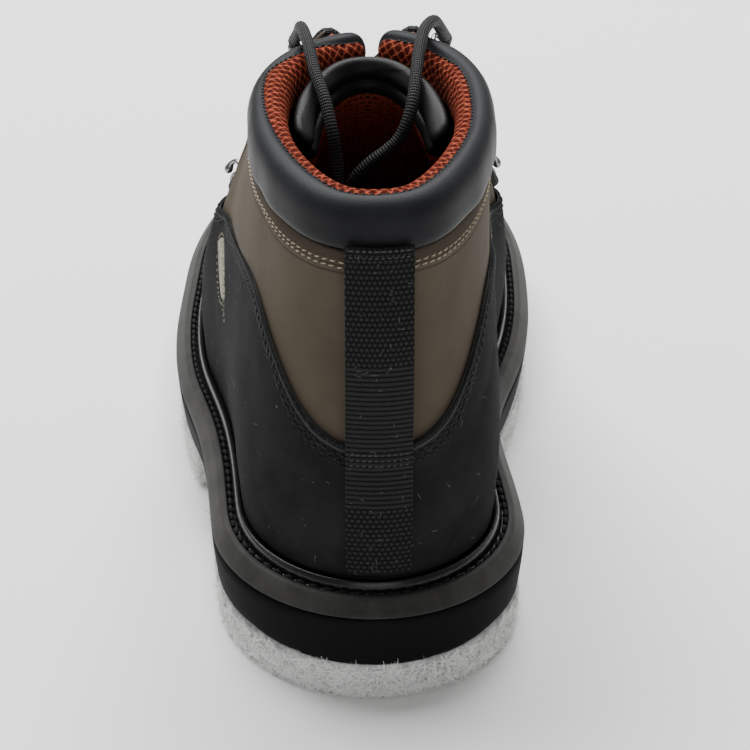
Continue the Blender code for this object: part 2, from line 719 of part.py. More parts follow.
def make_eyestays():
    rows = np.arange(EYESTAY_FROM, EYESTAY_TO + UPPER_STEP / 2, UPPER_STEP)
    low = np.maximum(EYESTAY_REACH, column(OVERLAY_EDGE, "row", "reach", rows) + EYESTAY_ABOVE)
    reaches = np.linspace(low, EYESTAY_TOP, 4, axis=1)
    for side, name in ((LATERAL, "eyestay_lateral"), (MEDIAL, "eyestay_medial")):
        points, faces = grid(side * rows, reaches, FITTING_GAP)
        if side == LATERAL:
            faces = [face[::-1] for face in faces]
        add_wall(name, points, faces, EYESTAY_WALL, True, eyestay_material)


def collar_middle(row):
    """The collar's middle line."""
    at = np.abs(row)
    inward = -skin_normal(row, 1.0) * np.array([1.0, 1.0, 0.0])
    inward /= np.linalg.norm(inward, axis=-1, keepdims=True)
    shift = column(COLLAR_ROWS, "row", "inward", at) * COLLAR_THICKNESS
    middle = skin(row, 1.0) + inward * shift[..., None]
    middle[..., 2] = height(column(COLLAR_ROWS, "row", "level", at)) + GAP + COLLAR_BAND / 2
    return middle


def make_collar():
    """A padded ring swept along the upper's top edge, square to its own line, with two rounded ends."""
    rows = np.linspace(-COLLAR_END_ROW, COLLAR_END_ROW, 27)
    middle = collar_middle(rows)
    thick = column(COLLAR_ROWS, "row", "thick", np.abs(rows)) * COLLAR_THICKNESS
    bows = np.radians([35, 65, 85])
    for end, before in ((-1, -2), (0, 1)):
        on = (middle[end] - middle[before]) / np.linalg.norm(middle[end] - middle[before])
        caps = middle[end] + np.outer(np.sin(bows) * COLLAR_TIP, on)
        if end == 0:
            middle = np.vstack([caps[::-1], middle])
        else:
            middle = np.vstack([middle, caps])
    size = np.concatenate([np.cos(bows[::-1]), np.ones(len(rows)), np.cos(bows)])
    thick = np.pad(thick, len(bows), mode="edge")
    ahead = np.gradient(middle, axis=0)
    inward = np.stack([-ahead[:, 1], ahead[:, 0], np.zeros(len(ahead))], axis=1)
    inward /= np.linalg.norm(inward, axis=1, keepdims=True)
    angles = np.linspace(0, 2 * math.pi, COLLAR_SIDES, endpoint=False)
    power = np.where(np.sin(angles) < 0, COLLAR_ROUND_BELOW, COLLAR_ROUND_ABOVE)
    wide = np.sign(np.cos(angles)) * np.abs(np.cos(angles)) ** power / 2
    tall = np.sign(np.sin(angles)) * np.abs(np.sin(angles)) ** power * (COLLAR_BAND / 2 - GAP)
    points = []
    for centre, direction, width, scale in zip(middle, inward, thick, size):
        for across, up in zip(wide, tall):
            points.append(centre + direction * across * width * scale + np.array([0, 0, up * scale]))
    faces = sweep_faces(len(middle), COLLAR_SIDES)
    add_mesh("collar", points, faces, collar_material)


def sweep_faces(sections, sides):
    """Faces of a closed body swept through sections of this many points."""
    faces = []
    for i in range(sections - 1):
        for j in range(sides):
            k = (j + 1) % sides
            low, high = i * sides, (i + 1) * sides
            faces.append((low + j, low + k, high + k, high + j))
    faces.append(tuple(range(sides)))
    faces.append(tuple(range((sections - 1) * sides, sections * sides)))
    return faces


def tongue_middle(at):
    """The tongue's outer middle line at this place along its rows, and the direction out of it."""
    index = np.arange(len(TONGUE_ROWS))

    def centre(place):
        along = through(index, [row.along for row in TONGUE_ROWS], place)
        level = through(index, [row.level for row in TONGUE_ROWS], place)
        return np.array([along * SOLE_LENGTH, height(level)])

    step = 0.05
    ahead = centre(min(at + step, len(TONGUE_ROWS) - 1)) - centre(max(at - step, 0))
    ahead /= np.linalg.norm(ahead)
    y, z = centre(at)
    lean = through(index, [row.lean for row in TONGUE_ROWS], at) * COLLAR_WIDTH
    return np.array([lean, y, z]), np.array([0, ahead[1], -ahead[0]])


def tongue_section(at):
    """The closed section of the tongue at this place: out along its front, back along its inner face."""
    index = np.arange(len(TONGUE_ROWS))

    def read(name):
        return float(through(index, [getattr(row, name) for row in TONGUE_ROWS], at))

    centre, out = tongue_middle(at)
    thick = read("thick") * TONGUE_THICKNESS
    half, back, down = (read(name) * COLLAR_WIDTH for name in ("half", "back", "down"))
    angles = np.linspace(-math.pi / 2, math.pi / 2, TONGUE_SIDES + 1)
    lie = (1 - np.cos(angles))[:, None] * np.array([0, -back, -down])
    front = centre + lie + np.outer(np.sin(angles) * half, [1, 0, 0])
    inner_centre = centre - out * thick
    inner = inner_centre + lie + np.outer(np.sin(angles) * (half - thick), [1, 0, 0])
    side = np.array([0, -thick / 3, -thick / 5])
    right = (front[-1] + inner[-1]) / 2 + side
    left = (front[0] + inner[0]) / 2 + side
    return np.vstack([front, right, inner[::-1], left])


def make_tongue():
    places = np.concatenate([np.arange(0, 7.5, 1.0), np.arange(7.5, 9.1, 0.5)])
    sections = [tongue_section(place) for place in places]
    faces = sweep_faces(len(sections), len(sections[0]))
    add_mesh("tongue", np.vstack(sections), faces, tongue_material)


def back_profile(reach, x):
    """A point of the upper's back at this reach and this far from the middle, and the way back from it."""
    rows = np.linspace(-1.4, 1.4, 57)
    line = skin(rows, reach)
    point = np.array([x, np.interp(x, line[:, 0], line[:, 1]), np.interp(x, line[:, 0], line[:, 2])])
    out = skin_normal(np.interp(x, line[:, 0], rows), reach) * np.array([0, 1, 1])
    return point, out / np.linalg.norm(out)


def make_pull_tab():
    """A strip of webbing up the back, sewn down below, bowed out above as a finger loop."""
    reaches = np.linspace(TAB_FOOT, 1.0, 13)
    edge = OVERLAY_EDGE[0].reach
    base = LAYER_GAP + OVERLAY_WALL + GAP
    half = TAB_WIDTH / 2
    across = np.linspace(-half, half, 5)
    sections = []
    for reach in reaches:
        free = np.clip((reach - edge) / (1 - edge), 0, 1)
        out = base + TAB_BOW * math.sin(math.pi * free)
        outer, inner = [], []
        for x in across:
            point, normal = back_profile(reach, x)
            inner.append(point + normal * out)
            outer.append(point + normal * (out + TAB_THICKNESS))
        sections.append(np.vstack([outer, inner[::-1]]))
    sections.append(sections[-1] + np.array([0, -GAP, TAB_FOLD]))
    faces = sweep_faces(len(sections), len(sections[0]))
    add_mesh("pull_tab", np.vstack(sections), faces, webbing_material)


def fitting_frame(side, fitting):
    """Where a hook or loop stands: its foot, the way out, away from the throat, and along it."""
    row, reach = side * fitting.row, fitting.reach
    under = EYESTAY_WALL + FITTING_GAP if fitting.kind == "hook" else OVERLAY_WALL + LAYER_GAP
    foot = off_skin(row, reach, under + FITTING_GAP)
    out = skin_normal(row, reach)
    step = 0.02
    away = skin(row, reach - step) - skin(row, reach + step)
    away -= out * np.dot(away, out)
    away /= np.linalg.norm(away)
    return foot, out, away, np.cross(out, away)


def make_hook(name, side, fitting):
    foot, out, away, _ = fitting_frame(side, fitting)
    points = [foot + (out * point.up + away * point.away) * HOOK_HEIGHT for point in HOOK_PATH]
    add_tube(name, points, HOOK_WIRE, metal_material, [point.thick for point in HOOK_PATH], resolution=1)


def make_loop(name, side, fitting):
    """A lace loop: a bent wire with both feet on the quarter."""
    foot, out, away, _ = fitting_frame(side, fitting)
    half = LACE_DIAMETER / 2 + HOOK_WIRE / 2 + LOOP_ROOM
    rise = LOOP_HEIGHT - HOOK_WIRE / 2
    points = [foot - away * half]
    for angle in np.linspace(math.pi, 0, 6):
        up = rise - half + half * math.sin(angle)
        points.append(foot + away * half * math.cos(angle) + out * up)
    points.append(foot + away * half)
    add_tube(name, points, HOOK_WIRE, metal_material, resolution=1)


def make_fittings():
    for side, word in ((LATERAL, "lateral"), (MEDIAL, "medial")):
        for fitting in FITTINGS:
            make = make_hook if fitting.kind == "hook" else make_loop
            make(f"{fitting.kind}_{word}_{fitting.number}", side, fitting)


def lace_turn(side, fitting):
    """Points of the lace at a fitting, front to back: over the throat's edge, through the loop or round the
    far side of the hook's stem, and back over the edge."""
    foot, out, away, along = fitting_frame(side, fitting)
    ahead = along if along[1] > 0 else -along
    turn = LACE_TURN * ahead
    if fitting.kind == "loop":
        middle = foot + out * (LACE_DIAMETER / 2 + LAYER_GAP)
        shoulder = 0 * away
    else:
        around = LACE_DIAMETER / 2 + HOOK_WIRE / 2 + 2 * LAYER_GAP
        middle = foot + out * (HOOK_LACE_UP * HOOK_HEIGHT) + away * around
        shoulder = away * LACE_TURN / 2
    row = side * fitting.row
    to_edge = np.linalg.norm(skin(row, 1.0) - skin(row, fitting.reach))
    over = foot - max(LACE_OVER_EDGE, to_edge) * away + (LACE_DIAMETER / 2 + 2 * FITTING_GAP) * out
    return [over + turn, middle + turn - shoulder, middle, middle - turn - shoulder, over - turn]


def over_tongue(first, second):
    """The point halfway between two points, set clear of the tongue's face, in the middle of it."""
    middle = (first + second) / 2
    places = np.linspace(0, LAST_LACED_PLACE, 181)
    nearest = min(places, key=lambda at: abs(tongue_middle(at)[0][1] - middle[1]))
    face, out = tongue_middle(nearest)
    clear = LACE_DIAMETER / 2 + FITTING_GAP
    proud = np.dot(middle - face, out)
    if proud < clear:
        middle = middle + out * (clear - proud)
    middle[0] = face[0]
    return middle


def leaving(side):
    """Where the lace's turn at the top hook ends, and the way that the loose end leads from there."""
    last = lace_turn(side, FITTINGS[0])[3]
    way = np.array(END_ROUTES[side][0]) - last
    return last, way / np.linalg.norm(way)


def lacing_route(side):
    """One half of the lace, from the bar at the front up to the top hook, crossing at each step."""
    laced = [fitting for fitting in reversed(FITTINGS) if fitting.laced]
    ends = [lace_turn(each, laced[0])[0] for each in (LATERAL, MEDIAL)]
    route = [over_tongue(*ends)]
    for fitting in laced:
        turn = lace_turn(side, fitting)
        if len(route) > 1:
            route.append(over_tongue(route[-1], turn[0]))
        route.extend(turn)
        side = -side
    last, way = leaving(-side)
    return route[:-1] + [last + way * LACE_TURN]


def thinned(points):
    """The points of a fine route that its bends need, none further apart than a few lace widths."""
    kept = [0]
    for i in range(1, len(points) - 1):
        last = points[kept[-1] + 1] - points[kept[-1]]
        step = points[i + 1] - points[i]
        cosine = np.dot(last, step) / (np.linalg.norm(last) * np.linalg.norm(step))
        far = np.linalg.norm(points[i] - points[kept[-1]])
        if cosine < math.cos(math.radians(34)) or far > 5 * LACE_DIAMETER:
            kept.append(i)
    return points[kept + [len(points) - 1]]


def make_lace_crossings():
    """Both halves of the laced part, joined where they cross."""
    halves = []
    for side in (LATERAL, MEDIAL):
        points = thinned(smooth_route(lacing_route(side), LACE_DIAMETER / 5))
        halves.append(add_tube(f"lace_half_{side}", points, LACE_DIAMETER, lace_material, resolution=1))
    bpy.context.view_layer.update()
    graph = bpy.context.evaluated_depsgraph_get()
    solids = []
    for half in halves:
        mesh = bpy.data.meshes.new_from_object(half.evaluated_get(graph))
        work = bmesh.new()
        work.from_mesh(mesh)
        bmesh.ops.remove_doubles(work, verts=work.verts, dist=1e-6)
        work.to_mesh(mesh)
        work.free()
        solids.append(mesh)
        bpy.data.objects.remove(half)
    laced = add_object("lace_crossings", solids[0], lace_material)
    other = bpy.data.objects.new("lace_other_half", solids[1])
    other.parent = boot
    cutters.objects.link(other)
    other.hide_render = True
    other.display_type = "WIRE"
    union = laced.modifiers.new("join", "BOOLEAN")
    union.operation = "UNION"
    union.object = other


def make_lace_ends():
    """The loose ends, each on from where the laced part stops at its top hook."""
    for name, side in (("lace_end_lateral", LATERAL), ("lace_end_medial", MEDIAL)):
        last, way = leaving(side)
        route = [last + way * (LACE_TURN + 2 * GAP), *END_ROUTES[side]]
        add_tube(name, smooth_route(route, LACE_SPACING * LACE_DIAMETER), LACE_DIAMETER, lace_material)


for old in list(bpy.data.objects):
    bpy.data.objects.remove(old)
parts = bpy.data.collections.new("wading_boot")
cutters = bpy.data.collections.new("cutters")
bpy.context.scene.collection.children.link(parts)
bpy.context.scene.collection.children.link(cutters)
boot = bpy.data.objects.new("boot", None)
boot.location = (0, -HEEL_REST, 0)
parts.objects.link(boot)

felt_material = new_material("felt", (0.52, 0.52, 0.51), 0.95)
rubber_material = new_material("midsole_rubber", (0.016, 0.016, 0.016), 0.6)
welt_material = new_material("welt_rubber", (0.045, 0.045, 0.043), 0.5)
insole_material = new_material("footbed", (0.02, 0.02, 0.02), 0.9)
upper_material = new_material("taupe_coated_fabric", (0.16, 0.13, 0.10), 0.6)
overlay_material = new_material("black_nubuck", (0.018, 0.018, 0.018), 0.8)
eyestay_material = new_material("eyestay_leather", (0.13, 0.105, 0.083), 0.6)
collar_material = new_material("collar_leather", (0.03, 0.031, 0.033), 0.45)
tongue_material = new_material("tongue_leather", (0.02, 0.02, 0.021), 0.5)
webbing_material = new_material("webbing", (0.03, 0.03, 0.03), 0.8)
metal_material = new_material("metal", (0.35, 0.35, 0.36), 0.3, 1.0)
lace_material = new_material("lace", (0.02, 0.02, 0.02), 0.8)

make_outsole()
make_midsole()
make_welt()
make_insole()
make_upper()
make_overlay()
make_eyestays()
make_collar()
make_tongue()
make_pull_tab()
make_fittings()
make_lace_crossings()
make_lace_ends()
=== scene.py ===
"""Looks of a left wading boot: taupe and black upper, padded collar, webbing tab, laces and felt sole."""

import math

import bmesh
import bpy
import numpy as np
from mathutils import Matrix, Vector
from mathutils.bvhtree import BVHTree
from mathutils.kdtree import KDTree


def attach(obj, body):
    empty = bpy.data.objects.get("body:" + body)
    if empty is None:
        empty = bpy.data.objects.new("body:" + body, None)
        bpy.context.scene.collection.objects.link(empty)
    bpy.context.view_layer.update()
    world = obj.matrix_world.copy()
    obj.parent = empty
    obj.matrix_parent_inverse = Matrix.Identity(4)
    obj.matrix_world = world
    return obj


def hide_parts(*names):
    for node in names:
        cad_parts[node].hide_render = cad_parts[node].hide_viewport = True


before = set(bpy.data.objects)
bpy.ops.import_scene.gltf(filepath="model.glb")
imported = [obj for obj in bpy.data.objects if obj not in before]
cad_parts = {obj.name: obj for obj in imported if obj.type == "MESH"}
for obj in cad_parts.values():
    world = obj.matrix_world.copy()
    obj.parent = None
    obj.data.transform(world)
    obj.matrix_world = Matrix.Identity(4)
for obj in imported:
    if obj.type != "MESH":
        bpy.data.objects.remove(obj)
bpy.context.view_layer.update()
bpy.ops.object.select_all(action="DESELECT")

# Camera: it stands behind the heel and above it and looks down along the boot, as in the photograph. Its turn,
# tilt, distance and lens were solved from the boot's outline there.
collection = bpy.context.scene.collection
tilt = math.radians(27.0)
turn = math.radians(3.2)
distance = 0.792
aim_height = 0.09225
aim_side = -0.0016
right = Vector((math.cos(turn), -math.sin(turn), 0))
ahead = Vector((math.sin(turn) * math.cos(tilt), math.cos(turn) * math.cos(tilt), -math.sin(tilt)))
above = right.cross(ahead)
heel_back = Vector((0, -0.045, 0))
camera = bpy.data.objects.new("camera", bpy.data.cameras.new("camera"))
collection.objects.link(camera)
camera.data.sensor_width = 36
camera.data.lens = 135.2
camera.matrix_world = Matrix.Translation(
    heel_back - distance * ahead + aim_height * above + aim_side * right
) @ Matrix((right, above, -ahead)).transposed().to_4x4()
bpy.context.scene.camera = camera

# Lace: one round braided black polyester lace, 3.6 mm across. The laced part zigzags between the loops and
# hooks; its two ends come over the collar from the top hooks and hang down inside, as in the photograph.


def node(tree, kind, inputs=None, **settings):
    """A shader node with its inputs joined to other nodes' outputs or set to values."""
    made = tree.nodes.new(kind)
    for key, value in settings.items():
        setattr(made, key, value)
    for key, value in (inputs or {}).items():
        if isinstance(value, bpy.types.NodeSocket):
            tree.links.new(value, made.inputs[key])
        else:
            made.inputs[key].default_value = value
    return made


def joined(kind, inputs, **settings):
    """A shader node in the tree of the outputs that it takes."""
    tree = next(value.id_data for value in inputs.values() if isinstance(value, bpy.types.NodeSocket))
    return node(tree, kind, inputs, **settings)


def new_material(name, roughness, colour=(0.8, 0.8, 0.8), specular=0.5, **inputs):
    """A material of the Principled shader, and its node tree."""
    material = bpy.data.materials.new(name)
    material.use_nodes = True
    tree = material.node_tree
    inputs.update(Roughness=roughness, Base_Color=(*colour, 1), Specular_IOR_Level=specular)
    for key, value in inputs.items():
        tree.nodes["Principled BSDF"].inputs[key.replace("_", " ")].default_value = value
    return material, tree


def own_place(tree):
    """Where a spot lies, in the object's own metres."""
    return node(tree, "ShaderNodeTexCoord").outputs["Object"]


def noise(tree, scale, detail=3.0, roughness=0.5):
    """Noise over the object's own metres, from 0 to 1."""
    inputs = {"Vector": own_place(tree), "Scale": scale, "Detail": detail, "Roughness": roughness}
    return node(tree, "ShaderNodeTexNoise", inputs).outputs["Fac"]


def attribute(tree, name):
    return node(tree, "ShaderNodeAttribute", attribute_name=name).outputs["Fac"]


def maths(operation, first, second=0.0, third=0.0):
    return joined("ShaderNodeMath", {0: first, 1: second, 2: third}, operation=operation).outputs[0]


def times(first, second):
    return maths("MULTIPLY", first, second)


def between(value, low, high, out_low=0.0, out_high=1.0):
    """value carried smoothly from between low and high to between out_low and out_high."""
    inputs = {"Value": value, "From Min": low, "From Max": high, "To Min": out_low, "To Max": out_high}
    return joined("ShaderNodeMapRange", inputs, interpolation_type="SMOOTHSTEP").outputs["Result"]


def mix(share, first, second):
    """The first colour where share is 0, and the second where it is 1."""
    ends = [value if isinstance(value, bpy.types.NodeSocket) else (*value, 1) for value in (first, second)]
    return joined("ShaderNodeMix", {0: share, 6: ends[0], 7: ends[1]}, data_type="RGBA").outputs[2]


def clouded(tree, scale, first, second, detail=4, roughness=0.6):
    """A colour that drifts between two."""
    return mix(between(noise(tree, scale, detail, roughness), 0.3, 0.7), first, second)


def bump(height, depth):
    """A bump whose full height is depth, in metres."""
    return joined("ShaderNodeBump", {"Height": height, "Distance": depth, "Strength": 1.0}).outputs["Normal"]


def connect(tree, **sockets):
    """Joins outputs to the Principled shader's inputs."""
    for key, value in sockets.items():
        tree.links.new(value, tree.nodes["Principled BSDF"].inputs[key.replace("_", " ")])


def add_piece(name, points, faces, materials):
    mesh = bpy.data.meshes.new(name)
    mesh.from_pydata([tuple(point) for point in points], [], [tuple(face) for face in faces])
    for material in materials:
        mesh.materials.append(material)
    mesh.shade_smooth()
    piece = bpy.data.objects.new(name, mesh)
    collection.objects.link(piece)
    return piece


def grid_faces(rows, wide, closed=True):
    """Four-sided faces between rows of points, each row this many points wide."""
    return [
        (low + k, low + (k + 1) % wide, low + wide + (k + 1) % wide, low + wide + k)
        for low in range(0, (rows - 1) * wide, wide)
        for k in range(wide if closed else wide - 1)
    ]


def store(piece, name, values):
    """Keeps a value for each point, for a material to read."""
    layer = piece.data.attributes.new(name, "FLOAT", "POINT")
    layer.data.foreach_set("value", np.asarray(values, np.float32))


def at(reach, travel, values):
    """The values at this reach, where travel says how far along each of them lies."""
    return np.stack([np.interp(reach, travel, values[:, k]) for k in range(3)], axis=-1)


def smooth_path(points, spacing, closed=False):
    """Points a spacing apart on a smooth curve through these points, and how far along it each lies."""
    points = np.asarray(points, float)
    if closed:
        points = np.vstack([points[-1:], points, points[:2]])
    else:
        points = np.vstack([2 * points[0] - points[1], points, 2 * points[-1] - points[-2]])
    lengths = np.linalg.norm(np.diff(points, axis=0), axis=1)
    slopes = points[2:] - points[:-2]
    shorter = np.minimum(lengths[1:], lengths[:-1])
    slopes *= (shorter / np.maximum(np.linalg.norm(slopes, axis=1), 1e-9))[:, None]
    inner = points[1:-1]
    fine = np.linspace(0, len(inner) - 1, 24 * len(inner))
    i = np.clip(fine.astype(int), 0, len(inner) - 2)
    f = (fine - i)[:, None]
    curve = (1 + 2 * f) * (1 - f) ** 2 * inner[i] + f * (1 - f) ** 2 * slopes[i]
    curve += f * f * (3 - 2 * f) * inner[i + 1] + f * f * (f - 1) * slopes[i + 1]
    travel = np.concatenate([[0], np.cumsum(np.linalg.norm(np.diff(curve, axis=0), axis=1))])
    count = max(3, int(round(travel[-1] / spacing)) + 1)
    even = np.linspace(0, travel[-1], count)
    if closed:
        even = even[:-1]
    return at(even, travel, curve), even


def tube(name, points, travel, radius, sides, material):
    """A round tube along a path, with capped ends, and where each point lies along and around it, in metres."""
    ahead_of = np.gradient(points, axis=0)
    ahead_of /= np.linalg.norm(ahead_of, axis=1, keepdims=True)
    side = np.cross(ahead_of[0], (0.3, 0.2, 0.9))
    rings, along, around = [], [], []
    for point, direction, reach in zip(points, ahead_of, travel):
        side = side - direction * np.dot(side, direction)
        side /= np.linalg.norm(side)
        up = np.cross(direction, side)
        for k in range(sides + 1):
            angle = 2 * math.pi * k / sides
            rings.append(point + radius * (math.cos(angle) * side + math.sin(angle) * up))
            along.append(reach)
            around.append(angle * radius)
    wide = sides + 1
    faces = grid_faces(len(points), wide, closed=False)
    faces.append(tuple(range(sides))[::-1])
    faces.append(tuple((len(points) - 1) * wide + k for k in range(sides)))
    piece = add_piece(name, rings, faces, [material])
    store(piece, "along", along)
    store(piece, "around", around)
    return piece


def braid(along, around, pitch, width):
    """Two sets of strands that cross on the slant, each rising over the other in turn, from 0 to 1."""
    turns = maths("DIVIDE", along, pitch)
    round_it = maths("DIVIDE", around, width)
    slants = [maths(operation, turns, round_it) for operation in ("ADD", "SUBTRACT")]
    first, second = (maths("SINE", times(slant, 2 * math.pi)) for slant in slants)
    return maths("MULTIPLY_ADD", times(first, second), 0.5, 0.5)


lace_width = 0.0036
lace_pitch = 0.0018
lace_strands = 9
lace_material, tree = new_material("lace", 0.6, specular=0.2)
strand_width = math.pi * lace_width / lace_strands
strands = braid(attribute(tree, "along"), attribute(tree, "around"), lace_pitch, strand_width)
fuzz = noise(tree, 4000, 2)
# The colour runs near black in the hollows between the strands: painted shade.
colour = mix(between(strands, 0.45, 1.0), (0.003, 0.003, 0.003), (0.026, 0.0265, 0.027))
height = maths("MULTIPLY_ADD", fuzz, 0.25, strands)
connect(tree, Base_Color=colour, Normal=bump(height, 0.0003))

lateral_end = (
    (-0.0181, 0.0870, 0.1496), (-0.0172, 0.0790, 0.1545), (-0.0168, 0.0720, 0.1587), (-0.0160, 0.0630, 0.1600),
    (-0.0150, 0.0540, 0.1592), (-0.0138, 0.0440, 0.1555), (-0.0112, 0.0350, 0.1500), (-0.0095, 0.0288, 0.1430),
    (-0.0084, 0.0268, 0.1355), (-0.0080, 0.0240, 0.1272), (-0.0070, 0.0200, 0.1160), (-0.0040, 0.0170, 0.1000),
    (0.0000, 0.0170, 0.0790), (0.0040, 0.0210, 0.0600), (0.0090, 0.0260, 0.0450), (0.0160, 0.0310, 0.0350),
    (0.0240, 0.0380, 0.0339),
)
medial_end = (
    (0.0267, 0.0872, 0.1495), (0.0246, 0.0790, 0.1550), (0.0222, 0.0720, 0.1598), (0.0190, 0.0630, 0.1608),
    (0.0169, 0.0540, 0.1590), (0.0151, 0.0430, 0.1550), (0.0137, 0.0350, 0.1500), (0.0119, 0.0312, 0.1450),
    (0.0092, 0.0295, 0.1400), (0.0052, 0.0288, 0.1365), (0.0010, 0.0284, 0.1334), (-0.0034, 0.0282, 0.1285),
    (-0.0064, 0.0282, 0.1195), (-0.0080, 0.0320, 0.1030), (-0.0085, 0.0310, 0.0830), (-0.0075, 0.0260, 0.0620),
    (-0.0060, 0.0190, 0.0450), (-0.0020, 0.0110, 0.0350), (0.0040, 0.0020, 0.0339),
)
for name, route in (("lace_end_lateral", lateral_end), ("lace_end_medial", medial_end)):
    points, travel = smooth_path(route, 0.0015)
    piece = tube(name + "_braid", points, travel, lace_width / 2, 16, lace_material)
    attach(piece, "root")
    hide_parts(name)

# Floor and light: a pale seamless floor, as in the photograph. A large soft lamp above and in front of the toe
# gives most of the light, and weak lamps stand at both sides and behind the heel.
bpy.ops.mesh.primitive_plane_add(size=6, location=(0, 0, 0))
floor = bpy.context.object
floor.name = "floor"
floor_material, _ = new_material("floor", 0.9, (0.84, 0.84, 0.83))
floor.data.materials.append(floor_material)


def soft_lamp(name, place, size, power):
    light = bpy.data.lights.new(name, "AREA")
    light.shape = "RECTANGLE"
    light.size, light.size_y = size
    light.energy = power
    lamp = bpy.data.objects.new(name, light)
    lamp.location = place
    lamp.rotation_euler = (Vector((0, 0.08, 0.08)) - Vector(place)).to_track_quat("-Z", "Y").to_euler()
    collection.objects.link(lamp)


soft_lamp("left lamp", (-1.5, 0.5, 0.9), (1.2, 1.2), 3)
soft_lamp("right lamp", (1.5, 0.6, 0.9), (1.2, 1.2), 3)
soft_lamp("front lamp", (0.0, -1.7, 0.7), (1.4, 1.0), 7)
soft_lamp("top lamp", (-0.15, 0.90, 1.6), (1.8, 1.4), 98)
world = bpy.data.worlds.new("studio")
world.use_nodes = True
sky = world.node_tree.nodes["Background"].inputs
sky["Color"].default_value = (1, 1, 1, 1)
sky["Strength"].default_value = 0.22
bpy.context.scene.world = world

# Upper: a taupe coated microfibre boot wall, 2 mm thick, with an orange-red spacer mesh lining. It is lasted and
# cemented to the welt, and two rows of tan thread run round it under the collar.


def clean_copy(cad_node, name, *materials):
    """A CAD node's shape as a new mesh, its triangles merged back into four-sided facets."""
    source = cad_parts[cad_node]
    work = bmesh.new()
    work.from_mesh(source.data)
    work.transform(source.matrix_world)
    bmesh.ops.remove_doubles(work, verts=work.verts, dist=2e-5)
    flat_enough = math.radians(50)
    bmesh.ops.join_triangles(
        work, faces=work.faces, angle_face_threshold=flat_enough, angle_shape_threshold=flat_enough
    )
    bmesh.ops.recalc_face_normals(work, faces=work.faces)
    work.verts.index_update()
    points = [vertex.co.copy() for vertex in work.verts]
    faces = [[vertex.index for vertex in face.verts] for face in work.faces]
    work.free()
    return add_piece(name, points, faces, materials)


def subdivide(piece, hold=0.6, angle=45):
    """Smooths the piece, holding its sharp edges."""
    work = bmesh.new()
    work.from_mesh(piece.data)
    creases = work.edges.layers.float.get("crease_edge") or work.edges.layers.float.new("crease_edge")
    for edge in work.edges:
        if len(edge.link_faces) == 2 and edge.calc_face_angle() > math.radians(angle):
            edge[creases] = hold
    work.to_mesh(piece.data)
    work.free()
    modifier = piece.modifiers.new("smooth", "SUBSURF")
    modifier.levels = modifier.render_levels = 2
    bpy.ops.object.select_all(action="DESELECT")
    bpy.context.view_layer.objects.active = piece
    piece.select_set(True)
    bpy.ops.object.modifier_apply(modifier=modifier.name)
    piece.select_set(False)
    piece.data.shade_smooth()


def points_of(piece):
    points = np.empty(len(piece.data.vertices) * 3)
    piece.data.vertices.foreach_get("co", points)
    return points.reshape(-1, 3)


def normals_of(piece):
    return np.array([vertex.normal[:] for vertex in piece.data.vertices])


def move_points(piece, points):
    piece.data.vertices.foreach_set("co", points.ravel())
    piece.data.update()


def shape(piece, offsets):
    """Moves each point along its own normal by what offsets gives for it."""
    move_points(piece, points_of(piece) + normals_of(piece) * offsets[:, None])


def trough(points, route, width, depth):
    """Offsets of a soft trough along a route, fading out at its ends."""
    path, travel = smooth_path(route, width / 3)
    gap = np.linalg.norm(points[:, None, :] - path[None, :, :], axis=2)
    nearest = gap.argmin(axis=1)
    share = travel[nearest] / travel[-1]
    fade = np.clip(np.minimum(share, 1 - share) * 5, 0, 1) ** 0.5
    return -depth * fade * np.exp(-((gap.min(axis=1) / width) ** 2))


middle_line, _ = smooth_path(
    ((0.001, 0.020, 0.15), (0.0, 0.0, 0.09), (0.0, 0.05, 0.08), (0.006, 0.13, 0.045), (0.01, 0.22, 0.04)),
    0.004,
)


def faces_out(spot, normal):
    """Whether a face looks away from the boot's hollow."""
    spot = np.array(spot[:])
    gap = spot - middle_line[np.linalg.norm(middle_line - spot, axis=1).argmin()]
    return np.dot(gap, np.array(normal[:])) > 0


def surface_of(piece, keep=lambda spot, normal: True):
    """A search tree over the faces of the piece where keep holds."""
    faces = [tuple(face.vertices) for face in piece.data.polygons if keep(face.center, face.normal)]
    return BVHTree.FromPolygons([vertex.co for vertex in piece.data.vertices], faces)


def spots_and_normals(found):
    """The spots and the normals of what a search tree found, without its misses."""
    hits = [each for each in found if each[0] is not None]
    return np.array([each[0][:] for each in hits]), np.array([each[1][:] for each in hits])


def laid_on(surface, points):
    """These points moved onto the surface, and its normals there."""
    return spots_and_normals([surface.find_nearest(Vector(point)) for point in points])


def cast_onto(surface, starts, way):
    """Where lines from these starts meet the surface, and its normals there."""
    return spots_and_normals([surface.ray_cast(Vector(start), Vector(way)) for start in starts])


def rim_rings(piece, wall):
    """The closed outer edges of a coarse sheet of this wall, each as its points in order."""
    work = bmesh.new()
    work.from_mesh(piece.data)
    across = {edge for edge in work.edges if abs(edge.calc_length() - wall) < 0.04 * wall}
    rim = {face for face in work.faces if any(edge in across for edge in face.edges)}
    partners = {}
    for edge in work.edges:
        sheet = [face for face in edge.link_faces if face not in rim]
        if edge in across or len(sheet) != 1:
            continue
        if faces_out(sheet[0].calc_center_median(), sheet[0].normal):
            a, b = edge.verts
            partners.setdefault(a.index, []).append(b.index)
            partners.setdefault(b.index, []).append(a.index)
    work.verts.ensure_lookup_table()
    places = {index: np.array(work.verts[index].co[:]) for index in partners}
    work.free()
    left = set(partners)
    rings = []
    while left:
        ring = [min(left)]
        left.discard(ring[0])
        while following := [index for index in partners[ring[-1]] if index in left]:
            ring.append(following[0])
            left.discard(following[0])
        if len(ring) > 5:
            rings.append(np.array([places[index] for index in ring]))
    return sorted(rings, key=length_of, reverse=True)


def length_of(ring):
    return np.linalg.norm(np.diff(np.vstack([ring, ring[:1]]), axis=0), axis=1).sum()


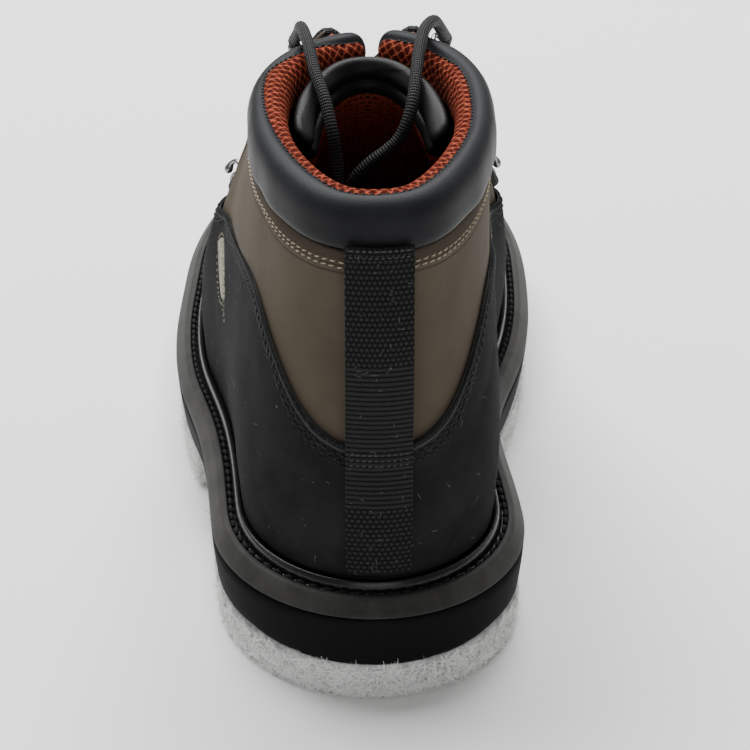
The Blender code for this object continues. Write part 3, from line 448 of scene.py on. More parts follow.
def distance_to(piece, ring, flat=False):
    """How far each point of the piece is from a ring, or with flat, how far as seen from above."""
    path, _ = smooth_path(ring, 0.001, closed=True)
    level = 0 if flat else 1
    tree = KDTree(len(path))
    for index, (x, y, z) in enumerate(path):
        tree.insert((x, y, z * level), index)
    tree.balance()
    return np.array([tree.find((x, y, z * level))[2] for x, y, z in points_of(piece)])


def row_inside(ring, surface, inset, keep=None):
    """Stretches of the line this far in from a ring over the surface, where keep holds: (points, normals) each."""
    path, _ = smooth_path(ring, 0.0010, closed=True)
    along = np.roll(path, -3, axis=0) - np.roll(path, 3, axis=0)
    aside = np.cross(along, laid_on(surface, path)[1])
    aside *= inset / np.linalg.norm(aside, axis=1, keepdims=True)
    sides = [(laid_on(surface, wanted)[0], wanted) for wanted in (path + aside, path - aside)]
    placed, _ = min(sides, key=lambda each: np.linalg.norm(each[0] - each[1], axis=1).sum())
    for _ in range(6):
        placed = (np.roll(placed, 2, axis=0) + placed + np.roll(placed, -2, axis=0)) / 3
    placed, normals = laid_on(surface, placed)
    if keep is None:
        closed = np.arange(len(placed) + 1) % len(placed)
        return [(placed[closed], normals[closed])]
    held = np.array([keep(point) for point in placed])
    turn = int(np.argmin(held))
    placed, normals, held = (np.roll(each, -turn, axis=0) for each in (placed, normals, held))
    edges = np.flatnonzero(np.diff(np.concatenate([[0], held.astype(int), [0]])))
    return [(placed[i:j], normals[i:j]) for i, j in zip(edges[::2], edges[1::2]) if j - i > 8]


bpy.ops.mesh.primitive_uv_sphere_add(segments=8, ring_count=5, radius=1)
thread_form = bpy.context.object
thread_points = points_of(thread_form)
thread_faces = [tuple(face.vertices) for face in thread_form.data.polygons]
bpy.data.objects.remove(thread_form)


def stitches(name, rows, pitch, length, width, material, slant=0.0):
    """Thread along rows of (points, normals): each stitch a short rounded bar, a quarter sunk in."""
    chance = np.random.default_rng(1)
    points, faces = [], []
    for path, normals in rows:
        steps = np.linalg.norm(np.diff(path, axis=0), axis=1)
        travel = np.concatenate([[0], np.cumsum(steps)])
        for place in np.arange(pitch / 2, travel[-1], pitch):
            normal = at(place, travel, normals)
            normal /= np.linalg.norm(normal)
            ahead_here = at(place + pitch / 3, travel, path) - at(place - pitch / 3, travel, path)
            ahead_here -= normal * np.dot(ahead_here, normal)
            ahead_here /= np.linalg.norm(ahead_here)
            angle = slant + chance.normal(0, 0.05)
            forward = ahead_here * math.cos(angle) + np.cross(normal, ahead_here) * math.sin(angle)
            size = length * (1 + chance.normal(0, 0.05)) / 2
            centre = at(place, travel, path) + normal * width * 0.25
            bend = thread_points[:, 0:1] ** 2 * normal * width * -0.45
            axes = np.array([forward * size, np.cross(normal, forward) * width / 2, normal * width / 2])
            first = len(points)
            points.extend(centre + thread_points @ axes + bend)
            faces.extend(tuple(first + index for index in face) for face in thread_faces)
    piece = add_piece(name, points, faces, [material])
    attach(piece, "root")


def thread_material(name, colour, roughness=0.55):
    material, tree = new_material(name, roughness, colour, 0.12)
    inputs = {"Vector": own_place(tree), "Scale": 700.0, "Distortion": 2.0}
    twist = node(tree, "ShaderNodeTexWave", inputs, bands_direction="DIAGONAL")
    connect(tree, Normal=bump(twist.outputs["Fac"], 0.0001))
    return material


def band(value, centre, reach):
    """1 where value is at centre, fading to 0 this far from it."""
    return between(maths("ABSOLUTE", maths("SUBTRACT", value, centre)), reach, 0.0)


def knitted(tree, solid, ridge, strand, hole, deep, dull):
    """Threads of strand's colour round dark holes, dimmed down their sides: painted shade there and in the holes.
    Their colour, and their height from 0 to 1.
    """
    threads = noise(tree, 2600, 2, 0.6)
    lit = times(ridge, between(threads, *dull, 1.0))
    dim = tuple(part * deep for part in strand)
    colour = mix(solid, hole, mix(lit, dim, strand))
    return colour, maths("MULTIPLY_ADD", threads, 0.3, ridge)


def open_mesh(tree, size, strand, hole):
    """Knitted mesh with rounded holes this far apart: its colour, and its height from 0 to 1."""
    inputs = {"Vector": own_place(tree), "Scale": 1 / size, "Randomness": 0.55}
    cells = node(tree, "ShaderNodeTexVoronoi", inputs, feature="DISTANCE_TO_EDGE").outputs["Distance"]
    solid, ridge = between(cells, 0.37, 0.24), between(cells, 0.34, 0.03)
    return knitted(tree, solid, ridge, strand, hole, 0.42, (0.25, 0.7, 0.6))


def fill_out(piece):
    """Stands the piece out at the ankle, where the padded lining behind it fills it out."""
    points = points_of(piece)
    near = np.exp(-(((points[:, 1] - 0.060) / 0.045) ** 2) - ((points[:, 2] - 0.118) / 0.022) ** 2)
    reach = np.where(points[:, 0] < 0, -0.0026, 0.0009)
    points[:, 0] += reach * near * np.clip(np.abs(points[:, 0]) / 0.02, 0, 1)
    move_points(piece, points)


upper_wall = 0.002
upper = clean_copy("upper", "upper_wall")
upper_top = max(rim_rings(upper, upper_wall), key=lambda ring: ring[:, 2].max())
subdivide(upper)
upper_creases = (
    # its route, its width and its depth
    (((-0.0205, -0.0239, 0.1284), (-0.0190, -0.0257, 0.1198), (-0.0170, -0.0275, 0.1102)), 0.003, 0.0004),
    (((-0.0126, -0.0321, 0.1197), (-0.0121, -0.0315, 0.1075), (-0.0112, -0.0320, 0.0942)), 0.003, 0.0005),
    (((0.0202, -0.0242, 0.1264), (0.0192, -0.0251, 0.1155), (0.0169, -0.0278, 0.1049)), 0.003, 0.0005),
    (((-0.0300, 0.0024, 0.1326), (-0.0286, -0.0021, 0.1256), (-0.0261, -0.0104, 0.1212)), 0.002, 0.0005),
)
points = points_of(upper)
shape(upper, sum(trough(points, *crease) for crease in upper_creases))
fill_out(upper)
upper_surface = surface_of(upper, faces_out)


def drop(points):
    """How much lower than at the back the collar's seam runs at the sides."""
    return 0.0017 * np.clip((np.abs(points[:, 0]) - 0.013) / 0.013, 0, 1)


store(upper, "below", distance_to(upper, upper_top) - drop(points_of(upper)))

tan_rows = (0.0043, 0.0063)
taupe, tree = new_material("taupe_microfibre", 0.75, specular=0.05)
below = attribute(tree, "below")
grain = noise(tree, 1500, 3, 0.6)
base = clouded(tree, 26, (0.068, 0.0545, 0.040), (0.086, 0.070, 0.052))
# The strip between the fold line and the collar is darker: painted shade under the collar.
shade_under_collar = between(below, 0.0038, 0.0032)
sewn = maths("ADD", *(band(below, inset, 0.0007) for inset in tan_rows))
colour = mix(times(shade_under_collar, 0.55), base, (0.040, 0.028, 0.022))
# Darker along the two sunken tan rows: painted shade.
colour = mix(times(sewn, 0.45), colour, (0.032, 0.025, 0.018))
height = maths("MULTIPLY_ADD", sewn, -3.0, grain)
height = maths("MULTIPLY_ADD", band(below, 0.0035, 0.0005), -4.0, height)
connect(tree, Base_Color=colour, Normal=bump(height, 0.00008))

orange = (0.36, 0.075, 0.040)
# The holes' colour is the orange dimmed: painted shade.
orange_hole = (0.045, 0.006, 0.004)
lining, tree = new_material("mesh_lining", 0.85, specular=0.15)
colour, height = open_mesh(tree, 0.0018, orange, orange_hole)
connect(tree, Base_Color=colour, Normal=bump(height, 0.0006))

for material in (taupe, lining):
    upper.data.materials.append(material)
for face in upper.data.polygons:
    if not faces_out(face.center, face.normal):
        face.material_index = 1
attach(upper, "root")
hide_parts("upper")


def behind_eyestay(spot):
    """Whether a spot lies where the tan rows run: behind the eyestays, and not down the throat."""
    return spot[1] < 0.066 and spot[2] > 0.120


tan_thread = thread_material("tan_thread", (0.36, 0.30, 0.215))
rows = []
for inset in tan_rows:
    for path, _ in row_inside(upper_top, upper_surface, inset, behind_eyestay):
        path[:, 2] -= drop(path)
        rows.append(laid_on(upper_surface, path))
stitches("collar_seam_thread", rows, 0.0026, 0.0020, 0.00054, tan_thread, slant=0.16)

# Overlay: black nubuck over heel, quarters and toe, 1.2 mm thick, cut in one with a small window each side that
# khaki mesh fills. It is stitched down by two rows of black thread along its top edge, and by khaki thread
# round each window.
nubuck_rows = (0.0030, 0.0050)
nubuck, tree = new_material("black_nubuck", 0.8, specular=0.03)
edge = attribute(tree, "edge")
nap = noise(tree, 2500, 3, 0.7)
grains = noise(tree, 1300, 2, 0.5)
lint = node(tree, "ShaderNodeTexVoronoi", {"Vector": own_place(tree), "Scale": 150.0})
specks = between(lint.outputs["Distance"], 0.075, 0.045)
chance = node(tree, "ShaderNodeSeparateColor", {"Color": lint.outputs["Color"]}).outputs[0]
dusty = times(specks, between(chance, 0.80, 0.84))
base = clouded(tree, 40, (0.0105, 0.0108, 0.0112), (0.0185, 0.019, 0.0195), detail=5)
rough = times(between(edge, 0.0075, 0.0045), between(grains, 0.5, 0.66))
colour = mix(times(rough, 0.8), base, (0.034, 0.035, 0.037))
fold = band(edge, 0.0013, 0.0004)
colour = mix(times(fold, 0.55), colour, (0.085, 0.085, 0.088))
colour = mix(between(edge, 0.0006, 0.0002), colour, (0.004, 0.004, 0.004))
colour = mix(dusty, colour, (0.13, 0.13, 0.13))
sewn = maths("ADD", *(band(edge, inset, 0.0006) for inset in nubuck_rows))
height = maths("MULTIPLY_ADD", sewn, -2.5, nap)
height = maths("MULTIPLY_ADD", rough, 0.8, height)
connect(tree, Base_Color=colour, Normal=bump(height, 0.00012))

sheet_wall = 0.0012
overlay = clean_copy("overlay", "nubuck_overlay", nubuck)
overlay_rings = rim_rings(overlay, sheet_wall)
subdivide(overlay)
points = points_of(overlay)
overlay_creases = (
    ((-0.0404, 0.0486, 0.0705), (-0.0370, 0.0139, 0.0827), (-0.0340, -0.0023, 0.0850), (-0.0320, -0.0099, 0.0819)),
    ((-0.0382, 0.0183, 0.0756), (-0.0358, 0.0016, 0.0783), (-0.0335, -0.0079, 0.0768)),
    ((-0.0465, 0.0994, 0.0594), (-0.0446, 0.0880, 0.0593), (-0.0422, 0.0686, 0.0617)),
    ((-0.0450, 0.0907, 0.0447), (-0.0413, 0.0552, 0.0547), (-0.0384, 0.0140, 0.0678)),
    ((0.0346, 0.0010, 0.0871), (0.0320, -0.0097, 0.0815), (0.0286, -0.0179, 0.0780)),
    ((-0.0350, -0.0083, 0.0556), (-0.0282, -0.0208, 0.0560), (-0.0201, -0.0292, 0.0573)),
)
shape(overlay, sum(trough(points, route, 0.0022, 0.0004) for route in overlay_creases))
overlay_surface = surface_of(overlay, faces_out)
overlay_top = max(overlay_rings[:2], key=lambda ring: ring[:, 2].max())
store(overlay, "edge", distance_to(overlay, overlay_top))
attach(overlay, "root")
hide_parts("overlay")

black_thread = thread_material("black_thread", (0.018, 0.018, 0.019), 0.5)
rows = []
for inset in nubuck_rows:
    rows += row_inside(overlay_top, overlay_surface, inset)
stitches("overlay_thread", rows, 0.0028, 0.0022, 0.00065, black_thread)
khaki_thread = thread_material("khaki_thread", (0.13, 0.125, 0.10))
khaki, tree = new_material("khaki_mesh", 0.85, specular=0.2)
# The holes' colour is the khaki dimmed: painted shade.
colour, height = open_mesh(tree, 0.0011, (0.36, 0.35, 0.27), (0.10, 0.10, 0.07))
connect(tree, Base_Color=colour, Normal=bump(height, 0.0003))

rows = []
windows = [ring for ring in overlay_rings if length_of(ring) < 0.12]
for number, ring in enumerate(windows, 1):
    rows += row_inside(ring, overlay_surface, 0.0011)
    first = ring[np.linalg.norm(ring - ring.mean(axis=0), axis=1).argmax()]
    last = ring[np.linalg.norm(ring - first, axis=1).argmax()]
    border, _ = smooth_path(ring, 0.0008, closed=True)
    share = (border - first) @ (last - first) / np.sum((last - first) ** 2)
    spine = first + np.clip(share, 0.06, 0.94)[:, None] * (last - first)
    outward = np.array([math.copysign(1.0, ring[:, 0].mean()), 0, 0])
    steps = np.linspace(1, 0, 6)
    points = []
    for step in steps:
        points.extend(spine + (border - spine) * step + outward * (0.0010 * (1 - step**2) - 0.0005))
    count = len(border)
    foot = min(first, last, key=lambda end: end[2])
    tail = foot + np.array([0, -0.004, -0.0065])
    for k in (np.argsort(border[:, 2])[count // 5], np.argsort(-border[:, 1])[count * 4 // 5]):
        leg = border[k] + np.linspace(0, 1, 12)[:, None] * (tail - border[k])
        rows.append(laid_on(overlay_surface, leg))
    patch = add_piece(f"vent_mesh_{number}", points, grid_faces(len(steps), count), [khaki])
    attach(patch, "root")
stitches("vent_thread", rows, 0.0022, 0.0018, 0.0006, khaki_thread, slant=0.5)


def hairs(name, piece, keep, count, length, width, lift, material, seed):
    """Fine curved hairs, as flat ribbons, scattered over the faces of the piece where keep holds."""
    chance = np.random.default_rng(seed)
    chosen = [face for face in piece.data.polygons if keep(face.center, face.normal)]
    weights = np.array([face.area for face in chosen])
    points, faces = [], []
    for index in chance.choice(len(chosen), count, p=weights / weights.sum()):
        face = chosen[index]
        corners = np.array([piece.data.vertices[i].co[:] for i in face.vertices])
        shares = chance.dirichlet(np.ones(len(corners)))
        root = shares @ corners
        normal = np.array(face.normal[:])
        way = np.cross(normal, chance.normal(size=3))
        way /= np.linalg.norm(way)
        curl = np.cross(normal, way) * chance.normal(0, 0.35)
        reach = length * chance.uniform(0.4, 1.2)
        rise = lift * chance.uniform(0.2, 1.2)
        aside = np.cross(way, normal + 0.3 * chance.normal(size=3))
        aside *= width / 2 / np.linalg.norm(aside)
        first = len(points)
        for t in (0.0, 0.35, 0.7, 1.0):
            centre = root + reach * (t * way + t * t * curl) + normal * (0.0001 + rise * t * (1.4 - 0.6 * t))
            centre[2] = max(centre[2], 0.0002)
            edge = aside * (1 - 0.7 * t)
            points.extend((centre - edge, centre + edge))
        faces.extend((first + 2 * k, first + 2 * k + 1, first + 2 * k + 3, first + 2 * k + 2) for k in range(3))
    made = add_piece(name, points, faces, [material])
    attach(made, "root")


lint_fibre, _ = new_material("lint_fibre", 0.8, (0.16, 0.16, 0.155))
hairs("overlay_lint", overlay, faces_out, 260, 0.0022, 0.00011, 0.0002, lint_fibre, 4)

# Eyestays: brown-taupe leather strips beside the throat that carry the hooks, 1.2 mm thick. Each is laid over
# the upper and stitched down along its edges.
eyestay_leather, tree = new_material("eyestay_leather", 0.65, specular=0.08)
grain = noise(tree, 1500, 3, 0.6)
colour = clouded(tree, 40, (0.060, 0.046, 0.036), (0.084, 0.066, 0.052), roughness=0.5)
connect(tree, Base_Color=colour, Normal=bump(grain, 0.00008))
brown_thread = thread_material("brown_thread", (0.10, 0.078, 0.058))
rows = []
for word in ("lateral", "medial"):
    eyestay = clean_copy(f"eyestay_{word}", f"eyestay_{word}_leather", eyestay_leather)
    ring = rim_rings(eyestay, sheet_wall)[0]
    subdivide(eyestay)
    fill_out(eyestay)
    rows += row_inside(ring, surface_of(eyestay, faces_out), 0.0018)
    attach(eyestay, "root")
    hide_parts(f"eyestay_{word}")
stitches("eyestay_thread", rows, 0.0026, 0.0021, 0.0006, brown_thread)

# Collar: a ring of foam in smooth black leather. Its orange-red spacer mesh lining is sewn on along the crest.
# seam_in is how far in from the ring's middle line that seam runs, as in the photograph.
collar_rows = (
    # x, y, z of the middle line, and seam_in
    (-0.0058, 0.0680, 0.1502, 0.0036),
    (-0.0152, 0.0617, 0.1499, 0.0020),
    (-0.0253, 0.0452, 0.1487, -0.0016),
    (-0.0279, 0.0249, 0.1474, -0.0006),
    (-0.0262, 0.0039, 0.1457, 0.0008),
    (-0.0196, -0.0160, 0.1440, 0.0012),
    (-0.0104, -0.0283, 0.1429, 0.0006),
    (0.0000, -0.0309, 0.1426, 0.0002),
    (0.0104, -0.0283, 0.1429, 0.0010),
    (0.0196, -0.0158, 0.1440, 0.0008),
    (0.0276, 0.0041, 0.1457, 0.0011),
    (0.0306, 0.0251, 0.1474, 0.0017),
    (0.0293, 0.0456, 0.1487, 0.0021),
    (0.0216, 0.0627, 0.1499, 0.0036),
    (0.0127, 0.0700, 0.1503, 0.0036),
)


def humps(value):
    """0 at each whole number, rising to 1 halfway between two."""
    return maths("ABSOLUTE", maths("SINE", times(value, math.pi)))


def net(tree, along, around, strand, hole):
    """Knitted net with slanted strands round lens-shaped holes: its colour, and its height from 0 to 1."""
    wander = noise(tree, 500, 2, 0.5)
    u = maths("MULTIPLY_ADD", wander, 0.5, maths("DIVIDE", along, 0.0032))
    v = maths("MULTIPLY_ADD", wander, -0.4, maths("DIVIDE", around, 0.0036))
    gap = times(*(humps(maths(operation, u, v)) for operation in ("ADD", "SUBTRACT")))
    solid, ridge = between(gap, 0.62, 0.44), between(gap, 0.5, 0.0)
    return knitted(tree, solid, ridge, strand, hole, 0.36, (0.3, 0.7, 0.55))


def left_of(ways):
    """Level unit directions at the left of these."""
    aside = np.stack([-ways[:, 1], ways[:, 0], np.zeros(len(ways))], axis=1)
    return aside / np.linalg.norm(aside, axis=1, keepdims=True)


collar = clean_copy("collar", "collar_padding")
subdivide(collar, hold=0.0)
line_step = 0.0012
line, _ = smooth_path([row[:3] for row in collar_rows], line_step)
ahead_of = np.gradient(line, axis=0)
inward = left_of(ahead_of)
knots = [np.linalg.norm(line - np.array(row[:3]), axis=1).argmin() for row in collar_rows]
seam_in = np.interp(np.arange(len(line)), knots, [row[3] for row in collar_rows])

# lined is how far each point lies on the lining's side of the seam, as seen from above
points = points_of(collar)
below_line = np.linalg.norm(line[None, :, :2] - points[:, None, :2], axis=2).argmin(axis=1)
inside = ((points - line[below_line]) * inward[below_line]).sum(axis=1)
low = np.clip((line[below_line, 2] - points[:, 2]) * 1.2, 0, 1)
lined = inside - seam_in[below_line] + np.where(inside > 0, low, -low)
normals = normals_of(collar)
outer_side = np.clip(-lined / 0.003, 0, 1)
puff = 0.0003 - 0.0009 * np.exp(-((lined / 0.0012) ** 2))
puff += 0.0012 * outer_side * np.clip(-normals[:, 2] * 1.6 - 0.1, 0, 1)
turn = np.arctan2(points[:, 0] - 0.0013, 0.02 - points[:, 1])
puff += 0.00018 * (np.sin(9 * turn + 1) + np.sin(17 * turn + 2) * 0.7) * np.clip(-normals[:, 2] + 0.6, 0, 1)
shape(collar, puff)
store(collar, "lined", lined)
nearest = np.linalg.norm(line[None] - points[:, None], axis=2).argmin(axis=1)
direction = ahead_of / np.linalg.norm(ahead_of, axis=1, keepdims=True)
offset = points - line[nearest]
store(collar, "along", line_step * nearest + (offset * direction[nearest]).sum(axis=1))
crest_radius = 0.0066
leaning = np.arctan2((offset * inward[nearest]).sum(axis=1), offset[:, 2])
store(collar, "around", crest_radius * leaning)

collar_leather, tree = new_material("collar_leather", 0.48, specular=0.08)
lined = attribute(tree, "lined")
wavy = noise(tree, 900, 2, 0.5)
mesh_share = between(maths("MULTIPLY_ADD", wavy, 0.0005, lined), 0.0001, 0.0005)
pebble = noise(tree, 1400, 3, 0.55)
leather = clouded(tree, 60, (0.0115, 0.012, 0.0135), (0.0165, 0.017, 0.019))
# A lighter band along the shoulder of the roll, outside the seam: a painted highlight.
painted_highlight = band(lined, -0.0035, 0.0030)
leather = mix(times(painted_highlight, 0.35), leather, (0.026, 0.027, 0.029))
mesh_colour, mesh_height = net(tree, attribute(tree, "along"), attribute(tree, "around"), orange, orange_hole)
colour = mix(mesh_share, leather, mesh_colour)
height = times(mesh_height, times(mesh_share, 8.0))
height = maths("ADD", height, times(pebble, maths("SUBTRACT", 1.0, mesh_share)))
roughness = between(mesh_share, 0.0, 1.0, 0.5, 0.9)
level = between(mesh_share, 0.0, 1.0, 0.08, 0.04)
connect(tree, Base_Color=colour, Normal=bump(height, 0.00008), Roughness=roughness, Specular_IOR_Level=level)
collar.data.materials.append(collar_leather)
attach(collar, "root")
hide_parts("collar")

starts = line + inward * (seam_in - 0.0003)[:, None] + np.array([0, 0, 0.03])
rows = [cast_onto(surface_of(collar), starts, (0, 0, -1))]
stitches("collar_thread", rows, 0.0021, 0.0016, 0.0006, black_thread, slant=0.35)

# Tongue: foam in smooth black synthetic leather, with a rolled rim, and orange-red perforated mesh inside. It is
# sewn in at the bottom of the throat and stands free above it.
tongue = clean_copy("tongue", "tongue_padding")
subdivide(tongue, hold=0.0)
angles = np.linspace(-math.pi / 2, math.pi / 2, 121)
lean = 1 - np.cos(angles)
tongue_rim = np.column_stack([0.0013 + 0.0195 * np.sin(angles), 0.0545 - 0.0310 * lean, 0.1546 - 0.0080 * lean])
points = points_of(tongue)
normals = normals_of(tongue)
below = np.linalg.norm(points[:, None, :] - tongue_rim[None], axis=2).min(axis=1)
to_shaft = np.array([0.001, 0.015, 0.12]) - points
to_shaft /= np.linalg.norm(to_shaft, axis=1, keepdims=True)
inner_share = np.clip((normals * to_shaft).sum(axis=1) * 3, 0, 1)
roll = 0.0012 * np.exp(-((below / 0.0040) ** 2)) - 0.0016 * np.exp(-(((below - 0.0062) / 0.0013) ** 2))
shape(tongue, np.where(points[:, 2] > 0.12, roll, 0))
store(tongue, "below", below)
store(tongue, "inner", inner_share)
tongue_leather, tree = new_material("tongue_leather", 0.52, specular=0.09)
mesh_share = between(attribute(tree, "below"), 0.0098, 0.0104)
mesh_share = times(mesh_share, between(attribute(tree, "inner"), 0.4, 0.6))
pebble = noise(tree, 1500, 3, 0.55)
mesh_colour, mesh_height = open_mesh(tree, 0.0018, (0.30, 0.058, 0.030), orange_hole)
colour = mix(mesh_share, (0.0105, 0.0105, 0.0112), mesh_colour)
height = maths("ADD", times(mesh_height, times(mesh_share, 6.0)), pebble)
roughness = between(mesh_share, 0.0, 1.0, 0.42, 0.9)
connect(tree, Base_Color=colour, Normal=bump(height, 0.00008), Roughness=roughness)
tongue.data.materials.append(tongue_leather)
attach(tongue, "root")
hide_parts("tongue")

# Gusset: thin black cloth folded in between the tongue's sides and the upper's throat edges. It is sewn to both,
# and keeps grit and gravel out.
gusset_rows = {
    "lateral": (
        # height, then x, y at the tongue and x, y at the upper
        (0.1450, -0.0196, 0.0290, -0.0122, 0.0830),
        (0.1390, -0.0198, 0.0320, -0.0160, 0.0850),
        (0.1330, -0.0203, 0.0395, -0.0195, 0.0868),
        (0.1250, -0.0216, 0.0500, -0.0245, 0.0892),
        (0.1150, -0.0234, 0.0630, -0.0296, 0.0922),
        (0.1050, -0.0250, 0.0755, -0.0318, 0.0965),
        (0.0950, -0.0266, 0.0875, -0.0298, 0.1040),
        (0.0850, -0.0278, 0.0990, -0.0290, 0.1140),
    ),
    "medial": (
        (0.1450, 0.0222, 0.0290, 0.0186, 0.0815),
        (0.1390, 0.0232, 0.0320, 0.0222, 0.0830),
        (0.1330, 0.0253, 0.0395, 0.0256, 0.0845),
        (0.1250, 0.0284, 0.0500, 0.0300, 0.0865),
        (0.1150, 0.0320, 0.0630, 0.0340, 0.0900),
        (0.1050, 0.0334, 0.0755, 0.0356, 0.0950),
        (0.0950, 0.0347, 0.0875, 0.0352, 0.1030),
        (0.0850, 0.0360, 0.0990, 0.0350, 0.1120),
    ),
}
gusset_cloth, tree = new_material("gusset_cloth", 0.9, (0.006, 0.006, 0.0062), 0.1)
connect(tree, Normal=bump(noise(tree, 1800, 2), 0.0001))
across = np.linspace(0, 1, 17)
fold = 0.0015 * np.abs(np.sin(across * math.pi) * np.sin(across * 3 * math.pi))
sag = 0.004 * np.sin(across * math.pi)
around = 2 * len(across)
gusset_wall = 0.0004
for word, levels in gusset_rows.items():
    side = 1 if word == "medial" else -1
    points = []
    for up, tongue_x, tongue_y, upper_x, upper_y in levels:
        x = tongue_x + (upper_x - tongue_x) * across - side * fold
        face = np.column_stack([x, tongue_y + (upper_y - tongue_y) * across, up - sag])
        points.extend([*face, *(face + np.array([side * gusset_wall, 0, 0]))[::-1]])
    faces = grid_faces(len(levels), around)
    foot = len(points) - around
    for k in range(len(across) - 1):
        faces.append((k + 1, k, around - 1 - k, around - 2 - k))
        faces.append((foot + k, foot + k + 1, foot + around - 2 - k, foot + around - 1 - k))
    faces = [quad[::side] for quad in faces]
    piece = add_piece(f"gusset_{word}", points, faces, [gusset_cloth])
    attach(piece, "root")

# Pull tab: a strip of black webbing up the back, folded over at its top, sewn under the collar and over the
# counter. Its weave is open above, ribbed across the middle, and twilled at its foot.
webbing, tree = new_material("webbing", 0.8, specular=0.15)
place = node(tree, "ShaderNodeSeparateXYZ", {"Vector": own_place(tree)})
up = place.outputs["Z"]
fuzz = noise(tree, 2600, 3, 0.6)
row_pitch = 0.0015


def dots(pitch):
    """Rows of threads that show as dots, each row shifted from the one below by half a dot."""
    level = maths("DIVIDE", up, row_pitch)
    across = maths("DIVIDE", place.outputs["X"], pitch)
    shifted = maths("MULTIPLY_ADD", maths("FLOOR", level), 0.5, across)
    return times(humps(shifted), humps(level))


ribs = times(humps(maths("DIVIDE", up, row_pitch)), between(fuzz, 0.2, 0.6, 0.5, 1.0))
in_ribs = times(between(up, 0.1040, 0.1030), between(up, 0.0585, 0.0590))
in_twill = between(up, 0.0590, 0.0585)
weave = maths("ADD", times(ribs, in_ribs), times(dots(0.00165), in_twill))
rest = maths("SUBTRACT", maths("SUBTRACT", 1.0, in_ribs), in_twill)
weave = maths("ADD", weave, times(dots(0.00140), rest))
# Near black where the weave dips between its threads: painted shade.
colour = mix(between(weave, 0.2, 0.9), (0.003, 0.003, 0.003), (0.021, 0.0212, 0.0215))
lint = between(noise(tree, 900, 4, 0.8), 0.66, 0.72)
linty = times(lint, maths("MULTIPLY_ADD", in_ribs, 0.5, 0.12))
colour = mix(linty, colour, (0.12, 0.12, 0.12))
height = maths("MULTIPLY_ADD", fuzz, 0.25, weave)
connect(tree, Base_Color=colour, Normal=bump(height, 0.0004))
tab = clean_copy("pull_tab", "pull_tab_webbing", webbing)
subdivide(tab, hold=0.7)
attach(tab, "root")
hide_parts("pull_tab")

hairs("tab_lint", tab, faces_out, 60, 0.0016, 0.00010, 0.0003, lint_fibre, 5)

grey_thread = thread_material("grey_thread", (0.075, 0.075, 0.075))
tab_surface = surface_of(tab, faces_out)
seam_heights = (0.1372, 0.1352, 0.0756, 0.0738, 0.0722)
seam_half = 0.0084
rows = []
for level in seam_heights:
    starts = [(x, -0.2, level) for x in np.linspace(-seam_half, seam_half, 30)]
    rows.append(cast_onto(tab_surface, starts, (0, 1, 0)))
stitches("tab_thread", rows, 0.0017, 0.0012, 0.0004, grey_thread, slant=0.1)

# Hooks and loops: plated steel, three open hooks above three closed loops on each side. They are riveted through
# the eyestays and the overlay.
metal, _ = new_material("plated_steel", 0.22, (0.22, 0.225, 0.23), Metallic=1.0)
for word in ("lateral", "medial"):
    for number in (1, 2, 3):
        for kind in ("hook", "loop"):
            name = f"{kind}_{word}_{number}"
            fitting = clean_copy(name, name + "_steel", metal)
            subdivide(fitting, hold=0.2)
            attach(fitting, "root")
            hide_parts(name)

# Laced part: the two halves of the lace, from the front bar up to the top hooks. They cross over the tongue
# between the loops and hooks of the two sides, and leave out the lowest hook on each side.
half_routes = {
    "lateral": (
        (0.0054, 0.1638, 0.0787), (-0.0126, 0.1639, 0.0786), (-0.0188, 0.1644, 0.0752), (-0.0197, 0.1614, 0.0765),
        (-0.0207, 0.1584, 0.0778), (-0.0145, 0.1579, 0.0811), (0.0052, 0.1503, 0.0835), (0.0333, 0.1428, 0.0858),
        (0.0385, 0.1449, 0.0808), (0.0402, 0.1419, 0.0814), (0.0418, 0.1390, 0.0819), (0.0366, 0.1369, 0.0869),
        (0.0047, 0.1291, 0.0910), (-0.0281, 0.1212, 0.0951), (-0.0333, 0.1253, 0.0880), (-0.0354, 0.1226, 0.0881),
        (-0.0375, 0.1200, 0.0881), (-0.0324, 0.1159, 0.0952), (0.0041, 0.1059, 0.1121), (0.0312, 0.0960, 0.1290),
        (0.0369, 0.0996, 0.1203), (0.0351, 0.0997, 0.1169), (0.0315, 0.0986, 0.1163), (0.0257, 0.0950, 0.1250),
        (0.0042, 0.0930, 0.1374), (-0.0076, 0.0910, 0.1497), (-0.0134, 0.0925, 0.1434), (-0.0171, 0.0918, 0.1442),
        (-0.0184, 0.0904, 0.1475), (-0.0181, 0.0875, 0.1493),
    ),
    "medial": (
        (0.0054, 0.1638, 0.0787), (0.0233, 0.1637, 0.0787), (0.0293, 0.1644, 0.0753), (0.0304, 0.1614, 0.0765),
        (0.0314, 0.1584, 0.0777), (0.0253, 0.1577, 0.0811), (0.0052, 0.1503, 0.0834), (-0.0236, 0.1430, 0.0856),
        (-0.0292, 0.1449, 0.0807), (-0.0308, 0.1420, 0.0814), (-0.0324, 0.1390, 0.0820), (-0.0267, 0.1371, 0.0870),
        (0.0047, 0.1290, 0.0911), (0.0370, 0.1208, 0.0953), (0.0415, 0.1251, 0.0882), (0.0436, 0.1225, 0.0880),
        (0.0457, 0.1198, 0.0877), (0.0412, 0.1155, 0.0948), (0.0041, 0.1057, 0.1119), (-0.0234, 0.0959, 0.1291),
        (-0.0297, 0.0994, 0.1205), (-0.0280, 0.0996, 0.1171), (-0.0244, 0.0988, 0.1163), (-0.0180, 0.0953, 0.1249),
        (0.0042, 0.0931, 0.1374), (0.0168, 0.0909, 0.1498), (0.0224, 0.0925, 0.1434), (0.0261, 0.0919, 0.1441),
        (0.0275, 0.0905, 0.1473), (0.0268, 0.0877, 0.1492),
    ),
}
for word, route in half_routes.items():
    points, travel = smooth_path(route, 0.0016)
    piece = tube(f"lace_{word}_half", points, travel, lace_width / 2, 12, lace_material)
    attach(piece, "root")
    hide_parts("lace_crossings")

